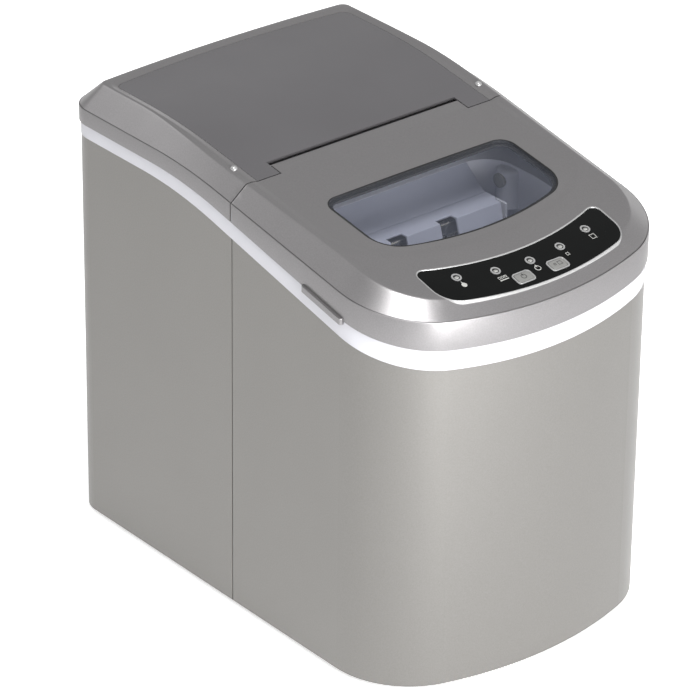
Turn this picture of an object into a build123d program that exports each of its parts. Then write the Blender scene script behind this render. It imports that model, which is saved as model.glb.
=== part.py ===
from build123d import *
from collections import namedtuple
from math import atan, cos, radians, sin, sqrt, tan
import os

# A countertop ice maker. Millimetres, +Z up, front towards -Y, origin under its middle on the table.

# --- Cabinet plan ---------------------------------------------------------------------------------
BODY_WIDTH = 237.6
BODY_DEPTH = 353.6
FRONT_BOW = 29.3  # how far the front bulges over the full width
REAR_BOW = 5.5
FRONT_CORNER = 60.0
REAR_CORNER = 20.0
SEAM_GAP = 0.8  # between the front and rear halves, at mid depth
RUN_GAP = 0.3  # between pieces that move past each other
FIT_GAP = 0.2  # between pieces that are fitted together
SHAFT_GAP = 0.05  # radial, shaft in bearing

# --- Heights and walls ----------------------------------------------------------------------------
FOOT_HEIGHT = 5.0
SKIN_BOTTOM = 4.0
SKIN = 1.6
PAN_THICKNESS = 3.0
PAN_RIM = 14.0
BAND_WIDTH = 7.0
BAND_PROUD = 0.3
RIM_OVERHANG = 1.4
TOP_WALL = 2.2
PLATE_THICKNESS = 1.6
CREASE = 0.5  # step where the rim wall meets the shoulder
TALL = 400.0  # taller than anything

# --- Side curves: a level rear, then knees of (y, slope in front of it, radius) --------------------
SideCurve = namedtuple("SideCurve", "rear_z knees")
BODY_TOP = SideCurve(286.0, [(56.0, 0.236, 320.0)])
RIM_BOTTOM = SideCurve(295.7, [(48.2, 0.222, 320.0)])
PANEL = SideCurve(319.3, [(80.0, 0.155, 450.0), (-122.0, 0.29, 700.0)])
CREST = SideCurve(320.7, [(80.0, 0.1609, 450.0), (-122.0, 0.29, 700.0)])
TUB_TOP = SideCurve(269.5, [(-58.0, 0.222, 150.0)])
SHOULDER_SLOPE = 0.18
SHOULDER_MID_Z = 298.0  # rim edge at mid depth, on the sloping plane
SHOULDER_REAR_Z = 306.5  # rim edge at the rear, on the level plane
FRONT_LEAN = 52.0  # shoulder's lean from upright, degrees
REAR_LEAN = 47.3

# --- Top recess, tongue and hinge -----------------------------------------------------------------
RECESS_HALF = BODY_WIDTH / 2 - 20.6
RECESS_REAR = BODY_DEPTH / 2 - 21.8
RECESS_FRONT = -BODY_DEPTH / 2 + 58.8
RECESS_BOW_R = 215.0
TONGUE_HALF = RECESS_HALF - 19.2
TONGUE_REAR = 14.3
BARREL_R = 4.0
PIN_R = 1.5
PIN_GRIP = 13.0  # how far a pin runs to each side of the tongue's end
LUG_WIDTH = 11.0
LUG_R = 4.5
SKIRT_Y = 17.0
SKIRT = 2.0

# --- Window and control panel ---------------------------------------------------------------------
WINDOW_HALF = RECESS_HALF - 21.7
WINDOW_REAR = -38.5
WINDOW_FRONT = RECESS_FRONT + 7.0
WINDOW_BOW_R = 230.0
PANE = 1.6
GASKET = 1.1
FRONT_BOW_R = (BODY_WIDTH**2 / 4 + FRONT_BOW**2) / (2 * FRONT_BOW)
FRONT_ARC_Y = FRONT_BOW_R - BODY_DEPTH / 2
CONTROLS_HALF = WINDOW_HALF + 0.5
CONTROLS_REAR_R = FRONT_BOW_R - 38.5
CONTROLS_FRONT_R = FRONT_BOW_R - 6.0
FASCIA = 2.0
BEZEL = 2.2
BEZEL_PROUD = 0.8
LAMP_PITCH = 27.0
LAMP_BOW_R = 186.0
LAMP_INSET = 26.3  # middle lamp, behind the cabinet's front
LAMP_R = 2.3
LAMP_RING_R = 3.4
KEY_PITCH = 28.6
KEY_INSET = 15.8
KEY_SIZE = (12.2, 7.4)
KEY_FRAME = 1.3
KEY_DEPTH = 4.2
KEY_TRAVEL = 1.0
SWITCH_GAP = 0.4
BOARD_DROP = 7.2  # control board's top under the panel surface
BOARD = 1.6
SHIELD = 1.5
SHIELD_DEPTH = 12.0

# --- Tub and basket -------------------------------------------------------------------------------
TUB_HALF = BODY_WIDTH / 2 - 21.8
TUB_REAR = -3.0
TUB_FRONT = -BODY_DEPTH / 2 + 21.8
TUB_FLOOR = 62.0
TUB_WALL = 2.0
JACKET = 10.0  # insulation round the tub
RAIL_Z = 214.0
RAIL_TALL = 4.7
RAIL_WIDTH = 6.0
RAIL_FRONT = TUB_FRONT + 50.0
RAIL_REAR = -60.0
BASKET_HALF = TUB_HALF - 11.0
BASKET_REAR = -54.0
BASKET_FRONT = TUB_FRONT + 9.0
BASKET_FLOOR = 94.0
BASKET_TALL = 128.0
BASKET_WALL = 1.8
BASKET_SLOT = (11.0, 5.0)
BASKET_SLOT_PITCH = 17.0

# --- Ice head -------------------------------------------------------------------------------------
HEAD_HALF = TUB_HALF - 17.0
FRAME_WALL = 1.5
FRAME_LOW = 202.0
FRAME_FRONT = -40.0
TRAY_Y = -26.0  # the tray's pivot axis
TRAY_Z = 222.0
TRAY_R = 17.0
TRAY_WALL = 1.5
TRAY_RISE = 3.0  # tray's rim over its axis
TRAY_HALF = HEAD_HALF - 8.0
JOURNAL_R = 2.5
BAR_HALF = 66.0
BAR_DEPTH = 20.0
BAR_TALL = 10.0
BAR_Z = 246.0  # middle of the cooled bar, and of the tubes into it
BAR_TUBE_X = 50.0
FINGER_PITCH = 14.0
FINGER_R = 4.5
FINGER_DIP = 9.0  # below the tray's axis
SHELF_Z = 255.0
SHELF_FRONT = -40.0
SHELF_WALL = 1.6
SHELF_SPAN = (-62.0, 76.0)
FLAPS = [(-49.0, -20.0), (-6.5, 22.0), (36.0, 74.0)]
FLAP_DROP = 20.0
COVER_FOOT_Y = -22.0
SENSOR_AT = (-23.0, 260.0)  # y and z of the lens
SENSOR_R = 9.0
SENSOR_LOW = 240.0

# --- Water circuit --------------------------------------------------------------------------------
PUMP_AT = (-50.0, -40.0)
PUMP_R = 19.0
PUMP_TALL = 30.0
INLET_R = 7.0
OUTLET_SHIFT = 12.0  # outlet off the pump's middle
OUTLET_END_Y = -10.0
OUTLET_RISE = 10.0
HOSE_R = 4.0
HOSE_Y = 8.0
HOSE_X = 71.0
HOSE_Z = 246.0
HOSE_END_Y = -14.0
SPOUT_AT = (62.0, -60.0)  # drain hole in the tub's floor
SPOUT_R = 4.0
DRAIN_Z = 32.0
DRAIN_BORE_R = 5.0
DRAIN_WALL = 2.5
DRAIN_CAP_R = 11.0
PLUG_LONG = 12.0

# --- Machine compartment --------------------------------------------------------------------------
BULKHEAD_Y = 20.0
BULKHEAD = 1.2
BULKHEAD_HALF = BODY_WIDTH / 2 - 6.8
BULKHEAD_TOP = 262.0
COMPRESSOR_AT = (-BODY_WIDTH / 2 + 62.8, BODY_DEPTH / 2 - 80.8)
COMPRESSOR_R = 46.0
COMPRESSOR_TALL = 120.0
COMPRESSOR_PORT = 20.0  # its pipes, off its middle
MOUNT_R = 7.0
MOUNT_TALL = 10.0
FOOT_PLATE = 2.5
FAN_AT = (BODY_WIDTH / 2 - 62.8, 84.0)  # x and z of the fan's axis
FAN_R = 44.0
FAN_TIP_GAP = 2.5
FAN_MOTOR_R = 17.0
FAN_MOTOR_LONG = 16.0
FAN_SHAFT_R = 2.0
FAN_HUB_R = 14.0
FAN_HUB_LONG = 14.0
BLADE_COUNT = 5
BLADE_CHORD = 20.0
BLADE_PITCH = 58.0  # degrees from the axis
SHROUD_FRONT = BODY_DEPTH / 2 - 48.8
SHROUD_DEPTH = 22.0
SHROUD_HALF = 52.0
SPOKE = 6.0
CONDENSER_GAP = 6.0
CONDENSER_DEPTH = 24.0
CONDENSER_TOP = 148.0
FIN_PITCH = 5.0
FIN_GAP = 3.8
HEADER = 6.0
PIPE_R = 2.6
BRANCH_R = 2.0
DRIER_AT = (88.0, 60.0)
DRIER_R = 8.0
DRIER_Z = (166.0, 236.0)
VALVE_AT = (63.0, 63.0)
VALVE_SIZE = 22.0
VALVE_Z = (176.0, 206.0)
VALVE_STUB = 8.0
CROSS_Z = 160.0  # height of the pipe runs over the condenser
BOX_X = (-36.0, 42.0)
BOX_DEPTH = 24.8
BOX_Z = (168.0, 234.0)
BOX_WALL = 2.0
BOARD_STANDOFF = 4.0

os.makedirs("parts", exist_ok=True)


def keep(piece, name):
    """Labels a finished piece and writes it to the parts folder."""
    piece.part.label = name
    export_step(piece.part, f"parts/{name}.step")


# --- Shared shapes --------------------------------------------------------------------------------
REACH = 240.0  # half length of the side curves, past both ends


def corners(curve, lift=0.0):
    """The corner points of a side curve as (y, z), from back to front."""
    points, slope = [(REACH, curve.rear_z + lift)], 0.0
    for knee_y, next_slope, _ in curve.knees:
        y, z = points[-1]
        points.append((knee_y, z - slope * (y - knee_y)))
        slope = next_slope
    y, z = points[-1]
    points.append((-REACH, z - slope * (y + REACH)))
    return points


def height(curve, y):
    """Height of a side curve at depth y, and its slope there."""
    points, slope = corners(curve), 0.0
    for (knee_y, knee_z), (_, next_slope, radius) in zip(points[1:-1], curve.knees):
        turn = (atan(next_slope) - atan(slope)) / 2
        reach = radius * tan(turn)
        start = knee_y + reach * cos(atan(slope))
        if y >= start:
            break
        if y > knee_y - reach * cos(atan(next_slope)):
            middle_y = start + radius * sin(atan(slope))
            middle_z = knee_z + reach * sin(atan(slope)) - radius * cos(atan(slope))
            rise = sqrt(radius**2 - (y - middle_y) ** 2)
            return middle_z + rise, (middle_y - y) / rise
        slope = next_slope
    before = [p for p in points if p[0] >= y][-1]
    return before[1] - slope * (before[0] - y), slope


def under(curve, lift=0.0):
    """Everything below a side curve, over the full width."""
    points = corners(curve, lift)
    with BuildPart() as below:
        with BuildSketch(Plane.YZ):
            with BuildLine():
                FilletPolyline(*points, radius=[knee[2] for knee in curve.knees])
                Polyline(points[-1], (-REACH, -TALL), (REACH, -TALL), points[0])
            make_face()
        extrude(amount=BODY_WIDTH, both=True)
    return below.part


def slab(curve, low, high):
    """The layer between two lifts of a side curve."""
    with BuildPart() as layer:
        add(under(curve, high))
        add(under(curve, low), mode=Mode.SUBTRACT)
    return layer.part


def outline(plane, grow=0.0, stretch=1.0):
    """The cabinet's plan, grown outward, with its depth stretched to suit a tilted plane."""
    half, back = BODY_WIDTH / 2 + grow, (BODY_DEPTH / 2 + grow) * stretch
    front_side, rear_side = -back + FRONT_BOW * stretch, back - REAR_BOW * stretch
    with BuildSketch(plane) as plan:
        with BuildLine():
            ThreePointArc((-half, front_side), (0, -back), (half, front_side))
            Line((half, front_side), (half, rear_side))
            ThreePointArc((half, rear_side), (0, back), (-half, rear_side))
            Line((-half, rear_side), (-half, front_side))
        make_face()
        fillet(plan.vertices().group_by(Axis.Y)[0], radius=FRONT_CORNER + grow)
        fillet(plan.vertices().group_by(Axis.Y)[-1], radius=REAR_CORNER + grow)
    return plan.sketch


def arc_plan(half, rear, front, bow_r, rear_r, front_r):
    """A plan with a straight rear edge and sides and a front edge bowed to a radius."""
    side_y = front + bow_r - sqrt(bow_r**2 - half**2)
    with BuildSketch() as plan:
        with BuildLine():
            Polyline((-half, side_y), (-half, rear), (half, rear), (half, side_y))
            ThreePointArc((half, side_y), (0, front), (-half, side_y))
        make_face()
        fillet(plan.vertices().group_by(Axis.Y)[-1], radius=rear_r)
        fillet(plan.vertices().filter_by(lambda v: abs(v.Y - side_y) < 0.01), radius=front_r)
    return plan.sketch


def window_plan(grow=0.0):
    """The window's plan: straight rear edge, bowed front."""
    return arc_plan(
        WINDOW_HALF + grow, WINDOW_REAR + grow, WINDOW_FRONT - grow, WINDOW_BOW_R + grow, 10 + grow, 22 + grow
    )


def recess_plan(grow=0.0):
    """The sunk field in the lid's top."""
    return arc_plan(
        RECESS_HALF + grow, TONGUE_REAR + 2, RECESS_FRONT - grow, RECESS_BOW_R + grow, 1, 50 + grow
    )


def tub_plan(grow=0.0):
    """The tub's inside plan."""
    return arc_plan(
        TUB_HALF + grow, TUB_REAR + grow, TUB_FRONT - grow, RECESS_BOW_R + grow, 22 + grow, 40 + grow
    )


def controls_plan(grow=0.0):
    """The control panel's crescent, between two arcs round the front bow's centre."""
    half, rear_r, front_r = CONTROLS_HALF + grow, CONTROLS_REAR_R - grow, CONTROLS_FRONT_R + grow
    rear_y, front_y = FRONT_ARC_Y - sqrt(rear_r**2 - half**2), FRONT_ARC_Y - sqrt(front_r**2 - half**2)
    with BuildSketch() as plan:
        with BuildLine():
            ThreePointArc((-half, rear_y), (0, FRONT_ARC_Y - rear_r), (half, rear_y))
            Line((half, rear_y), (half, front_y))
            ThreePointArc((half, front_y), (0, FRONT_ARC_Y - front_r), (-half, front_y))
            Line((-half, front_y), (-half, rear_y))
        make_face()
        fillet(plan.vertices().filter_by(lambda v: abs(v.Y - rear_y) < 0.01), radius=6 + grow)
        fillet(plan.vertices().filter_by(lambda v: abs(v.Y - front_y) < 0.01), radius=18 + grow)
    return plan.sketch


def panel_plane(x, y, lift=0.0):
    """A plane lying on the top surface at a plan point."""
    z, slope = height(PANEL, y)
    tilt = atan(slope)
    surface = Plane(origin=(x, y, z), x_dir=(1, 0, 0), z_dir=(0, -sin(tilt), cos(tilt)))
    return surface.offset(lift)


FRONT_TILT = atan(SHOULDER_SLOPE)
FRONT_NORMAL = (0, -sin(FRONT_TILT), cos(FRONT_TILT))
FRONT_PLANE = Plane(origin=(0, 0, SHOULDER_MID_Z), x_dir=(1, 0, 0), z_dir=FRONT_NORMAL)
REAR_PLANE = Plane.XY.offset(SHOULDER_REAR_Z)
SHOULDER_TALL = 15.0
CROWN_FLOOR = 200.0


def crown(plane, lean, grow, stretch):
    """Straight rim walls up to a plane, then a shoulder leaning in from it."""
    with BuildPart() as form:
        extrude(outline(Plane.XY.offset(CROWN_FLOOR), grow), amount=TALL)
        split(bisect_by=plane, keep=Keep.BOTTOM)
        extrude(outline(plane, grow - CREASE, stretch), amount=SHOULDER_TALL, taper=lean)
    return form.part


def front_crown(grow, drop):
    """The lid's solid form, to be cut by the top curve."""
    return crown(FRONT_PLANE.offset(-drop), FRONT_LEAN, grow, 1 / cos(FRONT_TILT))


def seam_zone(gap):
    """The plan of the front half with its tongue, grown or shrunk by half the seam."""
    with BuildSketch(Plane.XY.offset(CROWN_FLOOR)) as zone:
        with BuildLine():
            Polyline(
                (-BODY_WIDTH, gap), (-TONGUE_HALF - gap, gap), (-TONGUE_HALF - gap, TONGUE_REAR + gap),
                (TONGUE_HALF + gap, TONGUE_REAR + gap), (TONGUE_HALF + gap, gap), (BODY_WIDTH, gap),
                (BODY_WIDTH, -REACH), (-BODY_WIDTH, -REACH), (-BODY_WIDTH, gap),
            )
        make_face()
    return zone.sketch


AXIS_Y = TONGUE_REAR - SEAM_GAP / 2 - BARREL_R
AXIS_Z = height(PANEL, AXIS_Y)[0] - (BARREL_R + 0.1) / cos(atan(height(PANEL, AXIS_Y)[1]))


def rod(radius, x_from, x_to, y, z):
    """A round bar along X."""
    with BuildPart() as bar:
        with BuildSketch(Plane.YZ.offset(x_from)):
            with Locations((y, z)):
                Circle(radius)
        extrude(amount=x_to - x_from)
    return bar.part


def block(x, y, z):
    """A box between two limits on each axis."""
    with BuildPart() as box:
        with BuildSketch(Plane.XY.offset(z[0])):
            with Locations(((x[0] + x[1]) / 2, (y[0] + y[1]) / 2)):
                Rectangle(x[1] - x[0], y[1] - y[0])
        extrude(amount=z[1] - z[0])
    return box.part


# --- Base and skins -------------------------------------------------------------------------------
PAN_INSET = -SKIN - FIT_GAP
PAN_FLOOR = FOOT_HEIGHT + PAN_THICKNESS
with BuildPart() as base_pan:
    extrude(outline(Plane.XY.offset(FOOT_HEIGHT), PAN_INSET), amount=PAN_RIM)
    extrude(outline(Plane.XY.offset(PAN_FLOOR), PAN_INSET - 2), amount=PAN_RIM, mode=Mode.SUBTRACT)
keep(base_pan, "base_pan")

with BuildPart() as feet:
    with BuildSketch():
        with GridLocations(BODY_WIDTH - 64, BODY_DEPTH - 100, 2, 2):
            Circle(11)
    extrude(amount=FOOT_HEIGHT)
    chamfer(feet.edges().filter_by(GeomType.CIRCLE).group_by(Axis.Z)[0], 1.2)
keep(feet, "feet")

with BuildPart() as front_panel:
    extrude(outline(Plane.XY.offset(SKIN_BOTTOM)), amount=TALL)
    extrude(outline(Plane.XY, -SKIN), amount=TALL, mode=Mode.SUBTRACT)
    add(under(BODY_TOP), mode=Mode.INTERSECT)
    split(bisect_by=Plane.XZ.offset(SEAM_GAP / 2), keep=Keep.TOP)
    wall_x = (BODY_WIDTH / 2 - 5, BODY_WIDTH / 2 + 5)
    add(rod(DRAIN_CAP_R + RUN_GAP, *wall_x, SPOUT_AT[1], DRAIN_Z), mode=Mode.SUBTRACT)
keep(front_panel, "front_panel")

VENT_ROWS, VENT_PITCH, VENT_SLOT = 9, 9.0, 4.0
GLAND_AT = (-60.0, 32.0)
GLAND_R = 9.0
SCREW_X = BODY_WIDTH / 2 - 30.8
SCREW_PLACES = [(x, z) for x in (-SCREW_X, SCREW_X) for z in (28, 150, 272)]
SCREW_R = 2.0
HEAD_STANDOFF = 0.3  # flat heads on a bowed wall
GLAND_STANDOFF = 0.9
with BuildPart() as rear_housing:
    extrude(outline(Plane.XY.offset(SKIN_BOTTOM)), amount=TALL)
    extrude(outline(Plane.XY, -SKIN), amount=TALL, mode=Mode.SUBTRACT)
    add(under(BODY_TOP), mode=Mode.INTERSECT)
    split(bisect_by=Plane.XZ.offset(-SEAM_GAP / 2), keep=Keep.BOTTOM)
    with BuildSketch(Plane.XZ.offset(-BODY_DEPTH / 2 - 5)):
        with Locations((FAN_AT[0], FAN_AT[1])):
            with GridLocations(1, VENT_PITCH, 1, VENT_ROWS):
                SlotOverall(88, VENT_SLOT)
        with Locations((-FAN_AT[0], 214)):
            with GridLocations(1, VENT_PITCH, 1, 7):
                SlotOverall(74, VENT_SLOT)
        with Locations(GLAND_AT):
            Circle(GLAND_R)
        with Locations(SCREW_PLACES):
            Circle(SCREW_R)
    extrude(amount=20, mode=Mode.SUBTRACT)
keep(rear_housing, "rear_housing")


def wall_y(x):
    """Depth of the rear wall's outer face at x."""
    bow_r = (BODY_WIDTH**2 / 4 + REAR_BOW**2) / (2 * REAR_BOW)
    return BODY_DEPTH / 2 - bow_r + sqrt(bow_r**2 - x**2)


with BuildPart() as housing_screws:
    for x, z in SCREW_PLACES:
        with BuildSketch(Plane.XZ.offset(-wall_y(x) - HEAD_STANDOFF)):
            with Locations((x, z)):
                Circle(3.6)
        extrude(amount=-1.2)
        with BuildSketch(Plane.XZ.offset(-wall_y(x) - HEAD_STANDOFF)):
            with Locations((x, z)):
                Circle(SCREW_R - FIT_GAP / 2)
        extrude(amount=9)
keep(housing_screws, "housing_screws")

with BuildPart() as cord_gland:
    with BuildSketch(Plane.XZ.offset(-wall_y(GLAND_AT[0]) - GLAND_STANDOFF)):
        with Locations(GLAND_AT):
            Circle(GLAND_R + 2.5)
    extrude(amount=-1.4)
    with BuildSketch(Plane.XZ.offset(-wall_y(GLAND_AT[0]) - GLAND_STANDOFF)):
        with Locations(GLAND_AT):
            Circle(GLAND_R)
    extrude(amount=9)
    with BuildSketch(Plane.XZ.offset(-BODY_DEPTH / 2 - 5)):
        with Locations(GLAND_AT):
            Circle(3.8)
    extrude(amount=40, mode=Mode.SUBTRACT)
keep(cord_gland, "cord_gland")

with BuildPart() as trim_band:
    extrude(outline(Plane.XY.offset(CROWN_FLOOR), BAND_PROUD), amount=TALL)
    extrude(outline(Plane.XY.offset(CROWN_FLOOR), -BAND_WIDTH), amount=TALL, mode=Mode.SUBTRACT)
    add(slab(BODY_TOP, 0, 60), mode=Mode.INTERSECT)
    add(under(RIM_BOTTOM, -RUN_GAP), mode=Mode.INTERSECT)
keep(trim_band, "trim_band")

# --- Rear top -------------------------------------------------------------------------------------
def rear_crown(grow, drop):
    """The rear top's solid form: the sloping and the level crown, whichever is lower."""
    with BuildPart() as form:
        add(crown(FRONT_PLANE.offset(-drop), FRONT_LEAN, grow, 1 / cos(FRONT_TILT)))
        add(crown(REAR_PLANE.offset(-drop), REAR_LEAN, grow, 1.0), mode=Mode.INTERSECT)
    return form.part


INNER_DROP = 1.1


def plate_plan(grow=0.0):
    """The sunk field of the rear top, forward to the seam."""
    half, rear = RECESS_HALF + grow, RECESS_REAR + grow
    with BuildSketch(Plane.XY.offset(CROWN_FLOOR)) as plan:
        with BuildLine():
            Polyline((-half, rear - REAR_BOW), (-half, -REACH), (half, -REACH), (half, rear - REAR_BOW))
            ThreePointArc((half, rear - REAR_BOW), (0, rear), (-half, rear - REAR_BOW))
        make_face()
        fillet(plan.vertices().group_by(Axis.Y)[-1], radius=7 + grow)
    return plan.sketch


def cover_cavity():
    """The hollow under the rear top."""
    with BuildPart() as form:
        add(rear_crown(RIM_OVERHANG - TOP_WALL, INNER_DROP))
        add(under(PANEL, -PLATE_THICKNESS - TOP_WALL), mode=Mode.INTERSECT)
    return form.part


def over(plan, curve, lift):
    """A plan raised from a side curve up past the top of the machine."""
    with BuildPart() as form:
        extrude(plan, amount=TALL)
        add(under(curve, lift), mode=Mode.SUBTRACT)
    return form.part


def sheet(plan, curve, low, high):
    """A plan given thickness between two lifts of a side curve."""
    with BuildPart() as form:
        extrude(plan, amount=TALL)
        add(slab(curve, low, high), mode=Mode.INTERSECT)
    return form.part


def cover_form():
    """The rear top's outer form, without its hollow."""
    with BuildPart() as form:
        add(rear_crown(RIM_OVERHANG, 0))
        add(under(CREST), mode=Mode.INTERSECT)
    return form.part


def hinge_lugs():
    """The two lugs under the ears that hold the hinge pins."""
    inner, outer = TONGUE_HALF + SEAM_GAP, TONGUE_HALF + SEAM_GAP + LUG_WIDTH
    with BuildPart() as lugs:
        add(rod(LUG_R, inner, outer, AXIS_Y, AXIS_Z))
        add(block((inner, outer), (AXIS_Y, SKIRT_Y + SKIRT / 2), (AXIS_Z - LUG_R, AXIS_Z + LUG_R)))
        mirror(about=Plane.YZ)
        add(under(PANEL, -PLATE_THICKNESS - FIT_GAP), mode=Mode.INTERSECT)
    return lugs.part


PIN_OUTER = TONGUE_HALF + PIN_GRIP
with BuildPart() as rear_top_cover:
    add(cover_form())
    extrude(seam_zone(SEAM_GAP / 2), amount=TALL, mode=Mode.SUBTRACT)
    add(cover_cavity(), mode=Mode.SUBTRACT)
    add(over(plate_plan(), PANEL, -PLATE_THICKNESS), mode=Mode.SUBTRACT)
    add(under(RIM_BOTTOM), mode=Mode.SUBTRACT)
    skirt_top = height(PANEL, SKIRT_Y)[0] - PLATE_THICKNESS - TOP_WALL / 2
    skirt_half = RECESS_HALF + 6
    add(block((-skirt_half, skirt_half), (SKIRT_Y, SKIRT_Y + SKIRT), (TUB_TOP.rear_z + 1, skirt_top)))
    add(hinge_lugs())
    add(rod(PIN_R, -PIN_OUTER - 1, PIN_OUTER + 1, AXIS_Y, AXIS_Z), mode=Mode.SUBTRACT)
keep(rear_top_cover, "rear_top_cover")

with BuildPart() as rear_top_plate:
    add(sheet(plate_plan(-FIT_GAP), PANEL, -PLATE_THICKNESS, 0))
    extrude(seam_zone(SEAM_GAP / 2), amount=TALL, mode=Mode.SUBTRACT)
keep(rear_top_plate, "rear_top_plate")

with BuildPart() as hinge_pins:
    add(rod(PIN_R, TONGUE_HALF - PIN_GRIP, PIN_OUTER, AXIS_Y, AXIS_Z))
    mirror(about=Plane.YZ)
keep(hinge_pins, "hinge_pins")

BUMPER_R = 2.4
BUMPER_AT = (RECESS_HALF + 5.1, 17.7)
with BuildPart() as lid_rest_bumpers:
    for side in (-1, 1):
        with Locations((side * BUMPER_AT[0], BUMPER_AT[1], height(CREST, BUMPER_AT[1])[0] - 0.4)):
            Sphere(BUMPER_R)
    add(cover_form(), mode=Mode.SUBTRACT)
    add(over(plate_plan(), PANEL, -PLATE_THICKNESS), mode=Mode.SUBTRACT)
keep(lid_rest_bumpers, "lid_rest_bumpers")

# --- Lid ------------------------------------------------------------------------------------------
def lid_cavity():
    """The hollow under the lid."""
    with BuildPart() as form:
        add(front_crown(RIM_OVERHANG - TOP_WALL, INNER_DROP))
        add(under(PANEL, -TOP_WALL), mode=Mode.INTERSECT)
    return form.part


BARREL_END = TONGUE_HALF - SEAM_GAP / 2
with BuildPart() as lid_shell:
    add(front_crown(RIM_OVERHANG, 0))
    add(under(CREST), mode=Mode.INTERSECT)
    add(lid_cavity(), mode=Mode.SUBTRACT)
    extrude(seam_zone(-SEAM_GAP / 2), amount=TALL, mode=Mode.INTERSECT)
    split(bisect_by=Plane.XZ.offset(-AXIS_Y), keep=Keep.TOP)
    add(over(recess_plan(), PANEL, 0), mode=Mode.SUBTRACT)
    add(under(RIM_BOTTOM), mode=Mode.SUBTRACT)
    add(rod(BARREL_R, -BARREL_END, BARREL_END, AXIS_Y, AXIS_Z))
    add(rod(PIN_R + SHAFT_GAP, -TONGUE_HALF, TONGUE_HALF, AXIS_Y, AXIS_Z), mode=Mode.SUBTRACT)
    add(over(window_plan(GASKET), PANEL, -40), mode=Mode.SUBTRACT)
    add(over(controls_plan(), PANEL, -30), mode=Mode.SUBTRACT)
keep(lid_shell, "lid_shell")

GRIP_REAR, GRIP_FRONT = -73.0, -112.0
GRIP_PROUD = 3.6  # beyond the cabinet's side
GRIP_DROP, GRIP_RISE = 2.6, 1.6
with BuildPart() as lid_grips:
    rim_wall = BODY_WIDTH / 2 + RIM_OVERHANG
    band_clear = BODY_WIDTH / 2 + BAND_PROUD + RUN_GAP
    lip = block((band_clear, BODY_WIDTH / 2 + GRIP_PROUD), (GRIP_FRONT, GRIP_REAR), (CROWN_FLOOR, TALL))
    add(lip)
    add(slab(RIM_BOTTOM, -GRIP_DROP, GRIP_RISE), mode=Mode.INTERSECT)
    rim = block((band_clear - 5, rim_wall), (GRIP_FRONT - 5, GRIP_REAR + 5), (CROWN_FLOOR, TALL))
    add(rim - under(RIM_BOTTOM), mode=Mode.SUBTRACT)
    outer_ends = lid_grips.edges().filter_by(Axis.Z).group_by(Axis.X)[-1]
    fillet(outer_ends, radius=2.0)
    mirror(about=Plane.YZ)
keep(lid_grips, "lid_grips")

PANE_TOP = -0.3
GASKET_LIP = 2.5
with BuildPart() as window_gasket:
    add(sheet(window_plan(GASKET), PANEL, PANE_TOP - PANE - 1.5, -0.1))
    add(over(window_plan(), PANEL, PANE_TOP - PANE), mode=Mode.SUBTRACT)
    extrude(window_plan(-GASKET_LIP), amount=TALL, mode=Mode.SUBTRACT)
keep(window_gasket, "window_gasket")

with BuildPart() as lid_window:
    add(sheet(window_plan(), PANEL, PANE_TOP - PANE, PANE_TOP))
keep(lid_window, "lid_window")

with BuildPart() as control_bezel:
    add(sheet(controls_plan(), PANEL, -FASCIA - 0.6, BEZEL_PROUD))
    extrude(controls_plan(-BEZEL), amount=TALL, mode=Mode.SUBTRACT)
keep(control_bezel, "control_bezel")


def lamp_place(x):
    """Plan point of the lamp at x, on the lamps' own bow."""
    return x, -BODY_DEPTH / 2 + LAMP_INSET + LAMP_BOW_R - sqrt(LAMP_BOW_R**2 - x**2)


LAMP_PLACES = [lamp_place(LAMP_PITCH * number) for number in range(-2, 3)]
KEY_PLACES = [(side * KEY_PITCH / 2, -BODY_DEPTH / 2 + KEY_INSET) for side in (-1, 1)]


def pegs(places, radius, low, high):
    """Round pegs standing square to the top surface."""
    with BuildPart() as group:
        for x, y in places:
            with BuildSketch(panel_plane(x, y, low)):
                Circle(radius)
            extrude(amount=high - low)
    return group.part


def key_block(grow, low, high, places=KEY_PLACES):
    """Rounded rectangles the size of the keys, square to the top surface."""
    with BuildPart() as group:
        for x, y in places:
            with BuildSketch(panel_plane(x, y, low)):
                RectangleRounded(KEY_SIZE[0] + 2 * grow, KEY_SIZE[1] + 2 * grow, 1.6 + grow)
            extrude(amount=high - low)
    return group.part


with BuildPart() as control_fascia:
    add(sheet(controls_plan(-BEZEL - 0.1), PANEL, -FASCIA, -0.1))
    add(pegs(LAMP_PLACES, LAMP_RING_R, -5, 5), mode=Mode.SUBTRACT)
    add(key_block(KEY_FRAME, -5, 5), mode=Mode.SUBTRACT)
keep(control_fascia, "control_fascia")

with BuildPart() as lamp_rings:
    add(pegs(LAMP_PLACES, LAMP_RING_R, -FASCIA, 0.3))
    add(pegs(LAMP_PLACES, LAMP_R, -5, 5), mode=Mode.SUBTRACT)
keep(lamp_rings, "lamp_rings")

with BuildPart() as lamp_lenses:
    add(pegs(LAMP_PLACES, LAMP_R, -FASCIA, 0.1))
keep(lamp_lenses, "lamp_lenses")

with BuildPart() as key_frames:
    add(key_block(KEY_FRAME, -FASCIA, 0.4))
    add(key_block(RUN_GAP, -5, 5), mode=Mode.SUBTRACT)
keep(key_frames, "key_frames")

KEY_NAMES = ["power_key", "select_key"]
for name, place in zip(KEY_NAMES, KEY_PLACES):
    with BuildPart() as key:
        add(key_block(0, -KEY_DEPTH, 0.6, [place]))
        fillet(key.faces().sort_by(Axis.Z)[-1].edges(), radius=0.4)
    keep(key, name)

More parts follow.
